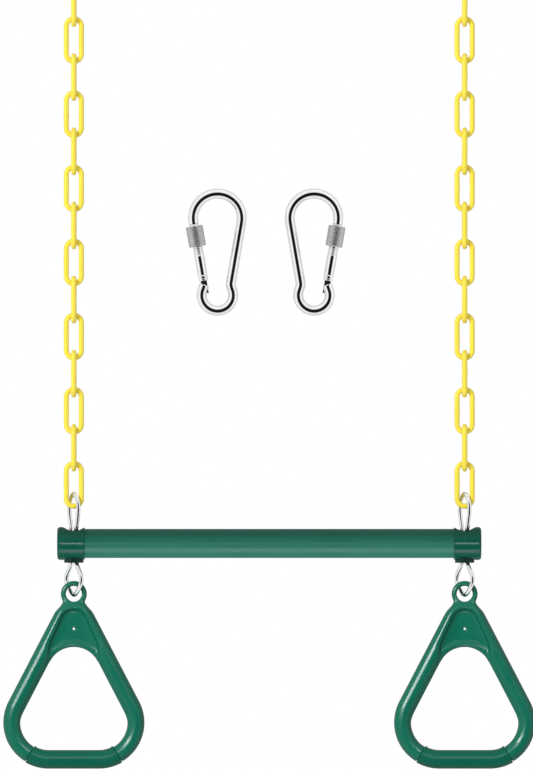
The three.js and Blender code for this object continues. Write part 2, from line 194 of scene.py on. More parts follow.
def arc_points(x, z, radius, start, end, step=0.5):
    """Points about one step apart on an arc in the XZ plane, angles in degrees."""
    count = max(2, int(abs(math.radians(end - start)) * radius / step) + 1)
    angle = np.radians(np.linspace(start, end, count))
    return np.stack(
        [x + radius * np.cos(angle), np.zeros(count), z + radius * np.sin(angle)], -1
    )


def resampled(points, step, soften=0.0, closed=False):
    """The same path with even stations, after a Gaussian softening of its corners.

    Station k lies at k times the step along the path's length. Softening replaces each
    station by the mean of its neighbours weighted by exp(-d^2 / 2 s^2); open ends stay.
    """
    if closed:
        points = np.concatenate([points, points[:1]])
    length = np.concatenate(
        [[0], np.cumsum(np.linalg.norm(np.diff(points, axis=0), axis=1))]
    )
    count = int(round(length[-1] / step)) + 1
    place = np.linspace(0, length[-1], count)
    even = np.stack([np.interp(place, length, points[:, k]) for k in range(3)], -1)
    if closed:
        even = even[:-1]
    if soften > 0:
        reach = int(4 * soften / step)
        weight = np.exp(-0.5 * (np.arange(-reach, reach + 1) * step / soften) ** 2)
        weight /= weight.sum()
        if closed:
            padded = np.concatenate([even[-reach:], even, even[:reach]])
        else:
            before = 2 * even[0] - even[reach:0:-1]
            after = 2 * even[-1] - even[-2 : -reach - 2 : -1]
            padded = np.concatenate([before, even, after])
        even = np.stack(
            [np.convolve(padded[:, k], weight, "valid") for k in range(3)], -1
        )
    return even


def turned(name, profile, sides, origin, axis="Z", bored=True):
    """A turned piece: rows of radius and height about an axis through origin.

    Each profile row gives a circle of that radius at that height. The profile of a bored
    piece closes on itself; otherwise both ends are closed by a fan.
    """
    profile = np.asarray(profile, float)
    angle = np.arange(sides) * TAU / sides
    flat = np.stack(
        [
            profile[:, :1] * np.cos(angle),
            profile[:, :1] * np.sin(angle),
            np.broadcast_to(profile[:, 1:], (len(profile), sides)),
        ],
        -1,
    )
    if axis == "X":
        flat = flat[..., [2, 0, 1]]
    return shell(name, flat + np.asarray(origin), wrap_rows=bored)


def rounded(corners, radius, steps=4):
    """A closed outline of (a, b) corners with each corner cut by a small round.

    Each corner becomes a quadratic curve between the two points that lie the round's
    radius away from it along its edges: (1-t)^2 p + 2 t (1-t) corner + t^2 q.
    """
    corners = np.asarray(corners, float)
    radius = np.broadcast_to(np.asarray(radius, float), (len(corners),))[:, None]
    to_last = np.roll(corners, 1, axis=0) - corners
    to_next = np.roll(corners, -1, axis=0) - corners
    span_last = np.linalg.norm(to_last, axis=1)[:, None]
    span_next = np.linalg.norm(to_next, axis=1)[:, None]
    p = corners + to_last / span_last * np.minimum(radius, span_last / 2.1)
    q = corners + to_next / span_next * np.minimum(radius, span_next / 2.1)
    t = np.linspace(0, 1, steps + 1)[None, :, None]
    bend = (1 - t) ** 2 * p[:, None] + 2 * t * (1 - t) * corners[:, None] + t**2 * q[:, None]
    return bend.reshape(-1, 2)


def cut(piece, *tools, union=False):
    """Takes the tools out of a piece, or adds them to it, and deletes them."""
    for tool in tools:
        change = piece.modifiers.new("cut", "BOOLEAN")
        change.operation = "UNION" if union else "DIFFERENCE"
        change.solver = "EXACT"
        change.object = tool
    graph = bpy.context.evaluated_depsgraph_get()
    mesh = bpy.data.meshes.new_from_object(piece.evaluated_get(graph))
    piece.modifiers.clear()
    piece.data = mesh
    mesh.polygons.foreach_set("use_smooth", np.ones(len(mesh.polygons), bool))
    mesh.set_sharp_from_angle(angle=math.radians(38))
    for tool in tools:
        bpy.data.objects.remove(tool)
    return piece


# ---------------------------------------------------------------- skins of solids


def smooth_min(a, b, k):
    """The lesser of two distances, rounded over a width k where they are close."""
    h = np.maximum(k - np.abs(a - b), 0) / k
    return np.minimum(a, b) - h * h * k / 4


def smooth_max(a, b, k):
    """The greater of two distances, rounded over a width k where they are close."""
    return -smooth_min(-a, -b, k)


def slope(field, points, step=0.04):
    """The field at points, and its gradient by central differences."""
    x, y, z = points.T
    gradient = np.stack(
        [
            field(x + step, y, z) - field(x - step, y, z),
            field(x, y + step, z) - field(x, y - step, z),
            field(x, y, z + step) - field(x, y, z - step),
        ],
        -1,
    ) / (2 * step)
    return field(x, y, z), gradient


def skin(field, low, high, pitch):
    """The surface where a distance field is nought, as points, quads and normals.

    A lattice of the given pitch is filled with the field. Each cell that the surface
    passes through gets one point, the mean of where it crosses the cell's edges, and
    each crossed edge gets a quad between the four cells round it. The points are then
    moved along the field's gradient, by the field over the gradient's square, until
    they lie on the surface.
    """
    axes = [np.arange(a - pitch, b + 2 * pitch, pitch) for a, b in zip(low, high)]
    values = field(*np.meshgrid(*axes, indexing="ij"))
    inside = values < 0
    cells = tuple(n - 1 for n in values.shape)
    total = np.zeros(cells + (3,))
    hits = np.zeros(cells)
    crossings = []
    for axis in range(3):
        near = [slice(None)] * 3
        far = [slice(None)] * 3
        near[axis], far[axis] = slice(0, -1), slice(1, None)
        near, far = tuple(near), tuple(far)
        crossed = inside[near] != inside[far]
        gap = values[near] - values[far]
        share = np.where(crossed, values[near] / np.where(crossed, gap, 1), 0)
        crossings.append((crossed, inside[near]))
        b, c = (axis + 1) % 3, (axis + 2) % 3
        for db in (0, 1):
            for dc in (0, 1):
                part = [slice(None)] * 3
                part[b] = slice(db, db + cells[b])
                part[c] = slice(dc, dc + cells[c])
                part = tuple(part)
                hits += crossed[part]
                total[..., axis] += share[part]
                total[..., b] += crossed[part] * db
                total[..., c] += crossed[part] * dc
    used = hits > 0
    number = np.full(cells, -1)
    number[used] = np.arange(used.sum())
    place = np.argwhere(used) + total[used] / hits[used][:, None]
    points = place * pitch + np.array([axis[0] for axis in axes])
    quads = []
    for axis, (crossed, starts_inside) in enumerate(crossings):
        b, c = (axis + 1) % 3, (axis + 2) % 3
        edge = np.argwhere(crossed)
        edge = edge[(edge[:, b] > 0) & (edge[:, c] > 0)]
        back_b, back_c = np.eye(3, dtype=int)[b], np.eye(3, dtype=int)[c]
        around = [edge - back_b - back_c, edge - back_c, edge, edge - back_b]
        quad = np.stack([number[tuple(cell.T)] for cell in around], -1)
        turn = ~starts_inside[tuple(edge.T)]
        quad[turn] = quad[turn][:, ::-1]
        quads.append(quad)
    for _ in range(5):
        value, gradient = slope(field, points)
        size = np.maximum((gradient**2).sum(1), 0.25)
        points -= (np.clip(value / size, -pitch, pitch))[:, None] * gradient
    _, gradient = slope(field, points)
    normals = gradient / np.maximum(np.linalg.norm(gradient, axis=1), 1e-6)[:, None]
    return points, [np.concatenate(quads)], normals


# ---------------------------------------------------------------- materials


class Tree:
    """Short way to add nodes to a tree and join them up."""

    def __init__(self, tree):
        self.tree = tree
        tree.nodes.clear()

    def add(self, kind, inputs=None, **settings):
        """A new node, its settings, and its inputs as numbers or as other sockets."""
        node = self.tree.nodes.new("ShaderNode" + kind)
        for key, value in settings.items():
            setattr(node, key, value)
        for key, value in (inputs or {}).items():
            if isinstance(value, bpy.types.NodeSocket):
                self.tree.links.new(value, node.inputs[key])
            else:
                node.inputs[key].default_value = value
        return node

    def math(self, operation, *inputs):
        """The outcome of a sum, product or other step on values or other sockets."""
        return self.add("Math", dict(enumerate(inputs)), operation=operation).outputs[0]

    def ramp(self, source, low, high, to_low=0.0, to_high=1.0):
        """A value carried smoothly from one range to another."""
        return self.add(
            "MapRange",
            {
                "Value": source, "From Min": low, "From Max": high,
                "To Min": to_low, "To Max": to_high,
            },
            interpolation_type="SMOOTHSTEP",
        ).outputs["Result"]


def new_group(name, inputs, outputs):
    """An empty shader group with named inputs and outputs, each (name, kind, default)."""
    group = bpy.data.node_groups.new(name, "ShaderNodeTree")
    for label, kind, default in inputs:
        socket = group.interface.new_socket(label, in_out="INPUT", socket_type=kind)
        if default is not None:
            socket.default_value = default
    for label, kind in outputs:
        group.interface.new_socket(label, in_out="OUTPUT", socket_type=kind)
    tree, nodes = Tree(group), group.nodes
    return group, tree, nodes.new("NodeGroupInput"), nodes.new("NodeGroupOutput")


def moulding_drift():
    """Broad drift of colour, as pigment and film thickness vary over a piece."""
    group, tree, given, out = new_group(
        "Moulding drift",
        [
            ("Vector", "NodeSocketVector", None),
            ("Scale", "NodeSocketFloat", 40.0),
            ("Pale", "NodeSocketColor", (1, 1, 1, 1)),
            ("Deep", "NodeSocketColor", (0, 0, 0, 1)),
        ],
        [("Colour", "NodeSocketColor"), ("Drift", "NodeSocketFloat")],
    )
    broad = tree.add(
        "TexNoise",
        {"Vector": given.outputs["Vector"], "Scale": given.outputs["Scale"], "Detail": 3.0},
    )
    drift = tree.ramp(broad.outputs["Fac"], 0.32, 0.68)
    mix = tree.add(
        "Mix",
        {"Factor": drift, "A": given.outputs["Deep"], "B": given.outputs["Pale"]},
        data_type="RGBA",
    )
    links = tree.tree.links
    links.new(mix.outputs["Result"], out.inputs["Colour"])
    links.new(drift, out.inputs["Drift"])
    return group


def orange_peel():
    """Fine waviness of a sprayed, dipped or moulded skin, as a height."""
    group, tree, given, out = new_group(
        "Orange peel",
        [
            ("Vector", "NodeSocketVector", None),
            ("Scale", "NodeSocketFloat", 900.0),
            ("Grit", "NodeSocketFloat", 0.2),
        ],
        [("Height", "NodeSocketFloat")],
    )
    cells = tree.add(
        "TexNoise",
        {"Vector": given.outputs["Vector"], "Scale": given.outputs["Scale"], "Detail": 1.5},
    )
    finer = tree.math("MULTIPLY", given.outputs["Scale"], 3.7)
    grit = tree.add(
        "TexNoise",
        {"Vector": given.outputs["Vector"], "Scale": finer, "Detail": 2.0},
    )
    total = tree.math(
        "MULTIPLY_ADD", grit.outputs["Fac"], given.outputs["Grit"], cells.outputs["Fac"]
    )
    tree.tree.links.new(total, out.inputs["Height"])
    return group


def handling_marks():
    """Faint rubs and hairline scratches of use, as a mask for the roughness."""
    group, tree, given, out = new_group(
        "Handling marks",
        [
            ("Vector", "NodeSocketVector", None),
            ("Scale", "NodeSocketFloat", 120.0),
            ("Amount", "NodeSocketFloat", 0.5),
        ],
        [("Mask", "NodeSocketFloat")],
    )
    stretch = tree.add(
        "Mapping",
        {"Vector": given.outputs["Vector"], "Rotation": (0.5, 0.3, 0.9), "Scale": (1.0, 9.0, 1.4)},
    )
    hair = tree.add(
        "TexNoise",
        {"Vector": stretch.outputs["Vector"], "Scale": given.outputs["Scale"], "Detail": 4.0},
    )
    lines = tree.ramp(hair.outputs["Fac"], 0.56, 0.66)
    rubbed = tree.add(
        "TexNoise",
        {"Vector": given.outputs["Vector"], "Scale": 28.0, "Detail": 2.0},
    )
    patches = tree.ramp(rubbed.outputs["Fac"], 0.4, 0.65)
    both = tree.math("MULTIPLY", lines, patches)
    mask = tree.math("MULTIPLY", both, given.outputs["Amount"])
    tree.tree.links.new(mask, out.inputs["Mask"])
    return group


GROUP_MAKERS = {
    "Moulding drift": moulding_drift,
    "Orange peel": orange_peel,
    "Handling marks": handling_marks,
}


def shared(name):
    """A shared node group, made the first time that it is asked for."""
    return bpy.data.node_groups.get(name) or GROUP_MAKERS[name]()


# For each slot: its title, its pale and deep colours, roughness where it is pale and
# where it is deep or rubbed, metal, specular level, drift scale, the peel's scale,
# height in metres and grit, and marks.
FINISHES = {
    "chain_coat": {
        "title": "Chain coat",
        "pale": ("Thick, bright coat", (0.97, 0.80, 0.075)),
        "deep": ("Thinner coat", (0.95, 0.765, 0.065)),
        "rough": (0.22, 0.28), "specular": 0.5, "drift": 25.0,
        "peel": (420.0, 0.000012, 0.05), "marks": 0.15,
    },
    "bar_coat": {
        "title": "Bar coat",
        "pale": ("Powder coat", (0.007, 0.072, 0.049)),
        "deep": ("Thinner powder coat", (0.006, 0.067, 0.045)),
        "rough": (0.36, 0.42), "specular": 0.13, "drift": 22.0,
        "peel": (1500.0, 0.00001, 0.3), "marks": 0.15,
    },
    "cap_plastic": {
        "title": "Cap",
        "pale": ("Moulded cap", (0.002, 0.048, 0.031)),
        "deep": ("Moulded cap, deeper", (0.002, 0.045, 0.029)),
        "rough": (0.13, 0.18), "specular": 0.12, "drift": 45.0,
        "peel": (200.0, 0.000003, 0.02), "marks": 0.1,
    },
    "bush_plastic": {
        "title": "Bush",
        "pale": ("Moulded bush", (0.007, 0.038, 0.028)),
        "deep": ("Moulded bush, deeper", (0.004, 0.026, 0.019)),
        "rough": (0.3, 0.4), "specular": 0.2, "drift": 90.0,
        "peel": (1800.0, 0.00001, 0.4), "marks": 0.15,
    },
    "ring_plastic": {
        "title": "Ring",
        "pale": ("Moulded ring", (0.001, 0.062, 0.038)),
        "deep": ("Moulded ring, deeper", (0.001, 0.058, 0.036)),
        "rough": (0.22, 0.25), "specular": 0.2, "drift": 30.0,
        "peel": (90.0, 0.000001, 0.0), "marks": 0.05,
    },
    "grip_plastic": {
        "title": "Grip",
        "pale": ("Moulded grip", (0.003, 0.092, 0.058)),
        "deep": ("Moulded grip, deeper", (0.002, 0.086, 0.054)),
        "rough": (0.25, 0.3), "specular": 0.12, "drift": 36.0,
        "peel": (600.0, 0.000004, 0.05), "marks": 0.1,
    },
    "connector_wire": {
        "title": "Connector",
        "pale": ("Zinc plate", (0.86, 0.87, 0.88)),
        "deep": ("Duller zinc", (0.74, 0.75, 0.77)),
        "rough": (0.05, 0.1), "metal": 1.0, "drift": 300.0,
        "peel": (700.0, 0.000004, 0.1), "marks": 0.4,
    },
    "hook_steel": {
        "title": "Hook",
        "pale": ("Bright plate", (0.92, 0.92, 0.925)),
        "deep": ("Duller plate", (0.86, 0.865, 0.875)),
        "rough": (0.03, 0.06), "metal": 1.0, "drift": 120.0,
        "peel": (160.0, 0.000003, 0.02), "marks": 0.2,
    },
    "spring_steel": {
        "title": "Spring",
        "pale": ("Spring steel", (0.60, 0.61, 0.63)),
        "deep": ("Darker spring steel", (0.42, 0.43, 0.45)),
        "rough": (0.22, 0.34), "metal": 1.0, "drift": 400.0,
        "peel": (2500.0, 0.00001, 0.3), "marks": 0.4,
    },
    "sleeve_steel": {
        "title": "Sleeve",
        "pale": ("Tops of the knurl", (0.62, 0.62, 0.62)),
        "deep": ("Dull places", (0.44, 0.44, 0.445)),
        "rough": (0.32, 0.42), "metal": 1.0, "drift": 700.0,
        "peel": (2500.0, 0.00001, 0.3), "marks": 0.4,
    },
}


def finish(slot):
    """The slot's material: drifting colour, marked roughness and a fine bump."""
    name = slot.replace("_", " ")
    made = bpy.data.materials.get(name)
    if made:
        return made
    facts = FINISHES[slot]
    colours = bpy.context.scene.swing_finishes
    pale = (*getattr(colours, slot + "_pale"), 1.0)
    deep = (*getattr(colours, slot + "_deep"), 1.0)
    material = bpy.data.materials.new(name)
    material.use_nodes = True
    tree = Tree(material.node_tree)
    place = tree.add("TexCoord").outputs["Object"]

    def group(name, inputs):
        return tree.add("Group", {"Vector": place, **inputs}, node_tree=shared(name))

    drift = group("Moulding drift", {"Scale": facts["drift"], "Pale": pale, "Deep": deep})
    marks = group("Handling marks", {"Scale": 160.0, "Amount": facts["marks"]})
    scale, height, grit = facts["peel"]
    peel = group("Orange peel", {"Scale": scale, "Grit": grit})
    low, high = facts["rough"]
    worn = tree.math("MAXIMUM", drift.outputs["Drift"], marks.outputs["Mask"])
    rough = tree.ramp(worn, 0.0, 1.0, low, high)
    bump = tree.add(
        "Bump",
        {"Height": peel.outputs["Height"], "Distance": height, "Strength": 1.0},
    )
    shader = tree.add(
        "BsdfPrincipled",
        {
            "Base Color": drift.outputs["Colour"],
            "Roughness": rough,
            "Metallic": facts.get("metal", 0.0),
            "Specular IOR Level": facts.get("specular", 0.5),
            "Normal": bump.outputs["Normal"],
        },
    )
    out = tree.add("OutputMaterial")
    tree.tree.links.new(shader.outputs["BSDF"], out.inputs["Surface"])
    return material


# ---------------------------------------------------------------- settings


def length(name, description, default):
    """A length in metres, given here in millimetres."""
    return bpy.props.FloatProperty(
        name=name, description=description, default=default / MM, min=0.0, unit="LENGTH",
        subtype="DISTANCE", precision=5,
    )


def colour(name, description, default):
    """A linear colour."""
    return bpy.props.FloatVectorProperty(
        name=name, description=description, default=default, size=3, min=0.0, max=1.0,
        subtype="COLOR",
    )


class SwingChainSettings(bpy.types.PropertyGroup):
    """Sizes of the coated chains."""

    wire: length("Wire radius", "Radius of the wire with its plastic coat", 2.85)
    inner_width: length("Inner width", "Clear width inside a link", 10.8)
    inner_length: length("Inner length", "Clear length inside a link", 40.7)
    weld: length("Weld swell", "How far the weld stands up under the coat", 0.16)


class SwingBarSettings(bpy.types.PropertyGroup):
    """Sizes of the bar, its caps, bushes and connectors."""

    tube: length("Tube radius", "Outer radius of the steel tube", 15.875)
    wall: length("Tube wall", "Wall of the steel tube", 1.6)
    cap: length("Cap radius", "Outer radius of an end cap", 18.0)
    cap_end: length("Cap end wall", "Thickness of a cap's closed end", 3.0)
    cap_edge: length("Cap edge round", "Round of a cap's outer edge", 3.0)
    top_hole: length("Top hole", "Radius of the hole above, which clears the wire", 10.0)
    bottom_hole: length("Bottom hole", "Radius of the hole below, which takes the bush", 9.5)
    bush: length("Bush radius", "Outer radius of a bush's pipe", 9.2)
    bush_bore: length("Bush bore", "Inner radius of a bush", 8.0)
    flange: length("Flange radius", "Outer radius of a bush's flange", 10.7)
    connector_wire: length("Connector wire", "Radius of the bent wire", 2.4)


class SwingRingSettings(bpy.types.PropertyGroup):
    """Sizes of the triangular gym rings."""

    section: length("Section radius", "Radius of the ring's round section", 9.3)
    corner: length("Corner radius", "Radius of the centre line at a bottom corner", 40.1)
    grip: length("Grip radius", "Outer radius of the grip", 10.2)
    eye: length("Eye radius", "Outer radius of the eye", 14.2)
    eye_hole: length("Eye hole", "Radius of the hole in the eye", 8.45)
    eye_depth: length("Eye thickness", "Thickness of the eye, front to back", 8.0)
    web: length("Web thickness", "Thickness of the recessed web", 5.0)


class SwingHookSettings(bpy.types.PropertyGroup):
    """Sizes of the locking snap hooks."""

    wire: length("Wire radius", "Radius of the hook's wire", 5.3)
    big_bend: length("Big bend", "Centre line radius of the big bend", 26.5)
    small_bend: length("Small bend", "Centre line radius of the small bend", 17.3)
    small_drop: length("Bend spacing", "From the big bend's centre to the small one's", 84.0)
    sleeve: length("Sleeve radius", "Outer radius of the knurled sleeve", 9.3)
    knurl: length("Knurl depth", "Depth of the knurl's grooves", 0.22)
    thread_depth: length("Thread depth", "Depth of the gate's thread", 0.8)
    thread_pitch: length("Thread pitch", "Pitch of the gate's thread", 2.1)


def finish_colours():
    """The colour settings, two to each finish, from the table of finishes."""
    made = {}
    for slot, facts in FINISHES.items():
        for tone in ("pale", "deep"):
            what, value = facts[tone]
            made[f"{slot}_{tone}"] = colour(f"{facts['title']}, {tone}", what, value)
    return made


class SwingFinishSettings(bpy.types.PropertyGroup):
    """Colours of the finishes, each drifting from pale to deep."""

    __annotations__ = finish_colours()


class SwingStudioSettings(bpy.types.PropertyGroup):
    """The studio's camera and light."""

    view_width: length("View width", "Width that the camera takes in", 581.0)
    camera_x: bpy.props.FloatProperty(
        name="Camera across", description="How far the camera stands to the right",
        default=-0.003, unit="LENGTH",
    )
    camera_z: bpy.props.FloatProperty(
        name="Camera height", description="Height of the camera over the hanging points",
        default=-0.4373, unit="LENGTH",
    )
    distance: length("Camera distance", "From the camera to the swing", 10000.0)
    floor: colour("Floor", "Colour of the floor", (0.86, 0.86, 0.86))
    surround: bpy.props.FloatProperty(
        name="Surround", description="Strength of the light from all round", default=0.45,
        min=0.0,
    )


SETTINGS = {
    "swing_chains": SwingChainSettings,
    "swing_bar": SwingBarSettings,
    "swing_rings": SwingRingSettings,
    "swing_hooks": SwingHookSettings,
    "swing_finishes": SwingFinishSettings,
    "swing_studio": SwingStudioSettings,
}


# ---------------------------------------------------------------- chains


COAT_SAG = 0.08  # how much thicker the coat hangs under a link
WELD_SPREAD = 2.6  # half length of the weld's swell


class SWING_OT_chains(bpy.types.Operator):
    """Make the links of both chains"""

    bl_idname = "swing.make_chains"
    bl_label = "Chains"

    def execute(self, context):
        facts = context.scene.swing_chains
        wire, width = facts.wire * MM, facts.inner_width * MM
        bend = width / 2 + wire
        reach = facts.inner_length * MM / 2 - width / 2
        outline = np.concatenate(
            [arc_points(0, reach, bend, 0, 180), arc_points(0, -reach, bend, 180, 360)]
        )
        centre = resampled(outline, 1.0, closed=True)
        _, outward = along(centre, closed=True)
        sides = 24
        # The weld swells one leg and the coat hangs a little thicker under each link.
        leg = np.exp(-((centre[:, 2] / WELD_SPREAD) ** 2)) * (centre[:, 0] < 0)
        hang = np.clip((-centre[:, 2] - reach) / bend, 0, 1)
        under = np.clip(np.cos(np.arange(sides) * TAU / sides), 0, 1)
        radius = wire + facts.weld * MM * leg[:, None] + COAT_SAG * hang[:, None] * under
        flat = swept(centre, outward, radius, sides)
        edge_on = flat[..., [1, 0, 2]] * np.array([-1, 1, 1])
        for side in SIDES:
            for number in range(1, LINKS_PER_CHAIN + 1):
                node = f"chain_{side}_link_{number:02d}"
                low, high = node_box(node)
                body = "hangers" if number == 1 else f"{side}_link_{number:02d}"
                link = edge_on if number % 2 else flat
                shell(
                    f"{side}_chain_link_{number:02d}", link + (low + high) / 2,
                    wrap_rows=True, body=body, node=node, slot="chain_coat",
                )
        return {"FINISHED"}


# ---------------------------------------------------------------- bar


def cap_field(facts, sign, hole_x):
    """Distance field of an end cap: a rounded cup, open inboard, holed up and down."""
    cap, edge, wall = facts.cap * MM, facts.cap_edge * MM, facts.cap_end * MM
    bore = facts.tube * MM + 0.3
    top_hole, bottom_hole = facts.top_hole * MM, facts.bottom_hole * MM
    low, high = node_box("end_cap_right")
    inner_end, outer_end = low[0], high[0]

    def field(x, y, z):
        out = sign * x
        r = np.hypot(y, z)
        a, b = r - (cap - edge), out - (outer_end - edge)
        cup = np.hypot(np.maximum(a, 0), np.maximum(b, 0)) + np.minimum(np.maximum(a, b), 0)
        cup = smooth_max(cup - edge, inner_end - out, 1.6)
        hollow = np.maximum(r - bore, out - (outer_end - wall))
        cup = smooth_max(cup, -hollow, 0.6)
        across = np.hypot(out - hole_x, y)
        above = np.where(z > 0, top_hole - across, -20.0)
        below = np.where(z < 0, bottom_hole - across, -20.0)
        cup = smooth_max(cup, above, 3.0)
        return smooth_max(cup, below, 0.8)

    return field


class SWING_OT_bar(bpy.types.Operator):
    """Make the tube, its end caps and the guide bushes"""

    bl_idname = "swing.make_bar"
    bl_label = "Bar, caps and bushes"

    def execute(self, context):
        facts = context.scene.swing_bar
        end, radius, wall = BAR_HIGH[0], facts.tube * MM, facts.wall * MM
        corners = [(radius, -end), (radius, end), (radius - wall, end), (radius - wall, -end)]
        profile = rounded(corners, 0.5)
        middle = profile[:, 1] < 0
        outer = profile[:, 0] > radius - wall / 2
        rows = [profile[middle & outer], profile[~middle & outer]]
        rows += [profile[~middle & ~outer], profile[middle & ~outer]]
        span = np.linspace(-end + 4, end - 4, 60)
        fill = np.stack([np.full(60, radius), span], -1)
        back = np.stack([np.full(60, radius - wall), span[::-1]], -1)
        profile = np.concatenate([rows[0], fill, rows[1], rows[2], back, rows[3]])
        tube = turned("main_tube", profile, 144, (0, 0, BAR_Z), axis="X")
        drills = []
        for side in SIDES:
            low, high = node_box(f"bush_{side}")
            hole = [(facts.bottom_hole * MM, -30), (facts.bottom_hole * MM, 30)]
            place = ((low[0] + high[0]) / 2, 0, BAR_Z)
            drills.append(turned("drill", hole, 64, place, bored=False))
        cut(tube, *drills)
        finish_piece(tube, "bar", "bar_tube", "bar_coat")
        for side, sign in SIDES.items():
            low, high = node_box(f"end_cap_{side}")
            bush_low, bush_high = node_box(f"bush_{side}")
            hole_x = abs(bush_low[0] + bush_high[0]) / 2
            shape = cap_field(facts, sign, hole_x)
            move = np.array([0, 0, BAR_Z])
            points, faces, normals = skin(shape, low - move, high - move, CAP_PITCH)
            new_piece(
                f"{side}_end_cup", points + move, faces, "bar", f"end_cap_{side}",
                "cap_plastic", normals,
            )
            self.bush(facts, side, sign * hole_x, bush_low, bush_high)
        return {"FINISHED"}

    def bush(self, facts, side, x, low, high):
        """A bush: circles about Z, its flange's top following the cap's round underside.

        At radius r and angle a the flange's top lies at -sqrt(c^2 - (r sin a)^2), where
        c is the cap's radius and a small clearance; the other rows are level.
        """
        bore, pipe, flange = facts.bush_bore * MM, facts.bush * MM, facts.flange * MM
        bottom, top = low[2] - BAR_Z, high[2] - BAR_Z
        seat = facts.cap * MM + 0.3
        angle = np.arange(72) * TAU / 72
        level = np.ones(72)

        def fitted(r):
            return -np.sqrt(seat**2 - (r * np.sin(angle)) ** 2)

        rows = [
            (bore, (bottom + 0.8) * level),
            (bore, top * level - 0.4),
            (bore + 0.4, top * level),
            (pipe - 0.4, top * level),
            (pipe, top * level - 0.4),
            (pipe, fitted(pipe) + 0.3),
            (pipe + 0.3, fitted(pipe + 0.3)),
            (flange - 0.5, fitted(flange - 0.5)),
            (flange - 0.12, fitted(flange) - 0.12),
            (flange, fitted(flange) - 0.5),
            (flange, (bottom + 0.8) * level),
            (flange - 0.25, (bottom + 0.25) * level),
            (flange - 0.8, bottom * level),
            (bore + 0.8, bottom * level),
            (bore + 0.25, (bottom + 0.25) * level),
        ]
        grid = np.stack(
            [
                np.stack([r * np.cos(angle) + x, r * np.sin(angle), z + BAR_Z], -1)
                for r, z in rows
            ]
        )
        shell(
            f"{side}_guide_bush", grid, wrap_rows=True, body="bar", node=f"bush_{side}",
            slot="bush_plastic",
        )


# ---------------------------------------------------------------- connectors

# Half of a connector's centre line: sideways in its own plane, up from the bar's axis.
CONNECTOR_HALF = np.array(
    [
        (0, 54.6), (4.2, 51.5), (7.5, 46.5), (8.8, 38.5), (8.0, 30), (6.2, 22), (4.2, 13),
        (3.5, 2), (3.6, -10), (4.3, -20), (8.9, -27.5), (14, -35), (14.2, -42),
        (10.4, -48), (5, -54), (0, -56.2),
    ]
)
CONNECTOR_TURN = -55.0  # degrees that its plane is turned from the bar's


def through(points, steps):
    """A closed curve through points: Catmull-Rom, a cubic between each two of them.

    Between p1 and p2 it is (2 p1 + (p2 - p0) t + (2 p0 - 5 p1 + 4 p2 - p3) t^2
    + (3 p1 - p0 - 3 p2 + p3) t^3) / 2.
    """
    p0, p1 = np.roll(points, 1, axis=0)[:, None], points[:, None]
    p2, p3 = np.roll(points, -1, axis=0)[:, None], np.roll(points, -2, axis=0)[:, None]
    t = (np.arange(steps) / steps)[None, :, None]
    curve = (
        2 * p1 + (p2 - p0) * t + (2 * p0 - 5 * p1 + 4 * p2 - p3) * t**2
        + (3 * p1 - p0 - 3 * p2 + p3) * t**3
    ) / 2
    return curve.reshape(-1, points.shape[1])


WIRE_PLAY = 0.12  # leaves the wire just touching the last link at full swing


class SWING_OT_connectors(bpy.types.Operator):
    """Make the pinched wires that join the chains, the bar and the rings"""

    bl_idname = "swing.make_connectors"
    bl_label = "Connectors"

    def execute(self, context):
        wire = context.scene.swing_bar.connector_wire * MM
        mirrored = CONNECTOR_HALF[-2:0:-1] * np.array([-1, 1])
        loop = through(np.concatenate([CONNECTOR_HALF, mirrored]), 16)
        flat = np.stack([loop[:, 0], np.zeros(len(loop)), loop[:, 1]], -1)
        centre = resampled(flat, 1.0, soften=1.6, closed=True)
        _, outward = along(centre, closed=True)
        grid = swept(centre, outward, wire - WIRE_PLAY, 28)
        turn = math.radians(CONNECTOR_TURN)
        c, s = math.cos(turn), math.sin(turn)
        grid = grid @ np.array([[c, s, 0], [-s, c, 0], [0, 0, 1]])
        for side in SIDES:
            low, high = node_box(f"connector_{side}")
            place = np.array([(low[0] + high[0]) / 2, 0, BAR_Z])
            shell(
                f"{side}_bent_wire", grid + place, wrap_rows=True,
                body=f"{side}_connector", node=f"connector_{side}", slot="connector_wire",
            )
        return {"FINISHED"}


# ---------------------------------------------------------------- gym rings

EYE_DROP = 55.0  # from the bar's axis to the centre of a ring's eye
RING_LEAN = math.radians(27.5)  # each side leans this far from upright
RING_CORNER = (27.6, -140.2)  # centre of a bottom corner, from the eye's centre
TOP_ARC = 15.5  # radius of the centre line over the neck
ARCH = (-87.4, 30.0)  # centre height and radius of the opening's arched top
LIP = 3.4  # radius of the rolled lip
RING_PITCH, CAP_PITCH = 0.8, 0.6  # lattices of the two skins
RECESS = ((12.0, -30.5), (25.0, -62.0))  # radius and height at its two ends
WEB_HOLE = (-38.0, 1.3)
GRIP_END = math.radians(31)  # the grip runs this far up each corner


def ring_outline(facts, x, z):
    """Signed distance from the ring's centre line, negative inside the triangle.

    x is taken without its sign. Above the corner's normal a point is measured to the
    leaning side or to the top arc, in the corner's wedge to the corner's arc, and under
    the straight bottom to that.
    """
    corner = facts.corner * MM
    cx, cz = RING_CORNER
    nx, nz = math.cos(RING_LEAN), math.sin(RING_LEAN)
    reach = cx * nx + cz * nz + corner
    top_z = (reach - TOP_ARC) / nz
    side = x * nx + z * nz - reach
    up = -x * nz + z * nx
    up_corner, up_top = -cx * nz + cz * nx, top_z * nx
    distance = np.where(up > up_top, np.hypot(x, z - top_z) - TOP_ARC, side)
    distance = np.where(up < up_corner, np.hypot(x - cx, z - cz) - corner, distance)
    return np.where((x < cx) & (z < cz), cz - corner - z, distance)


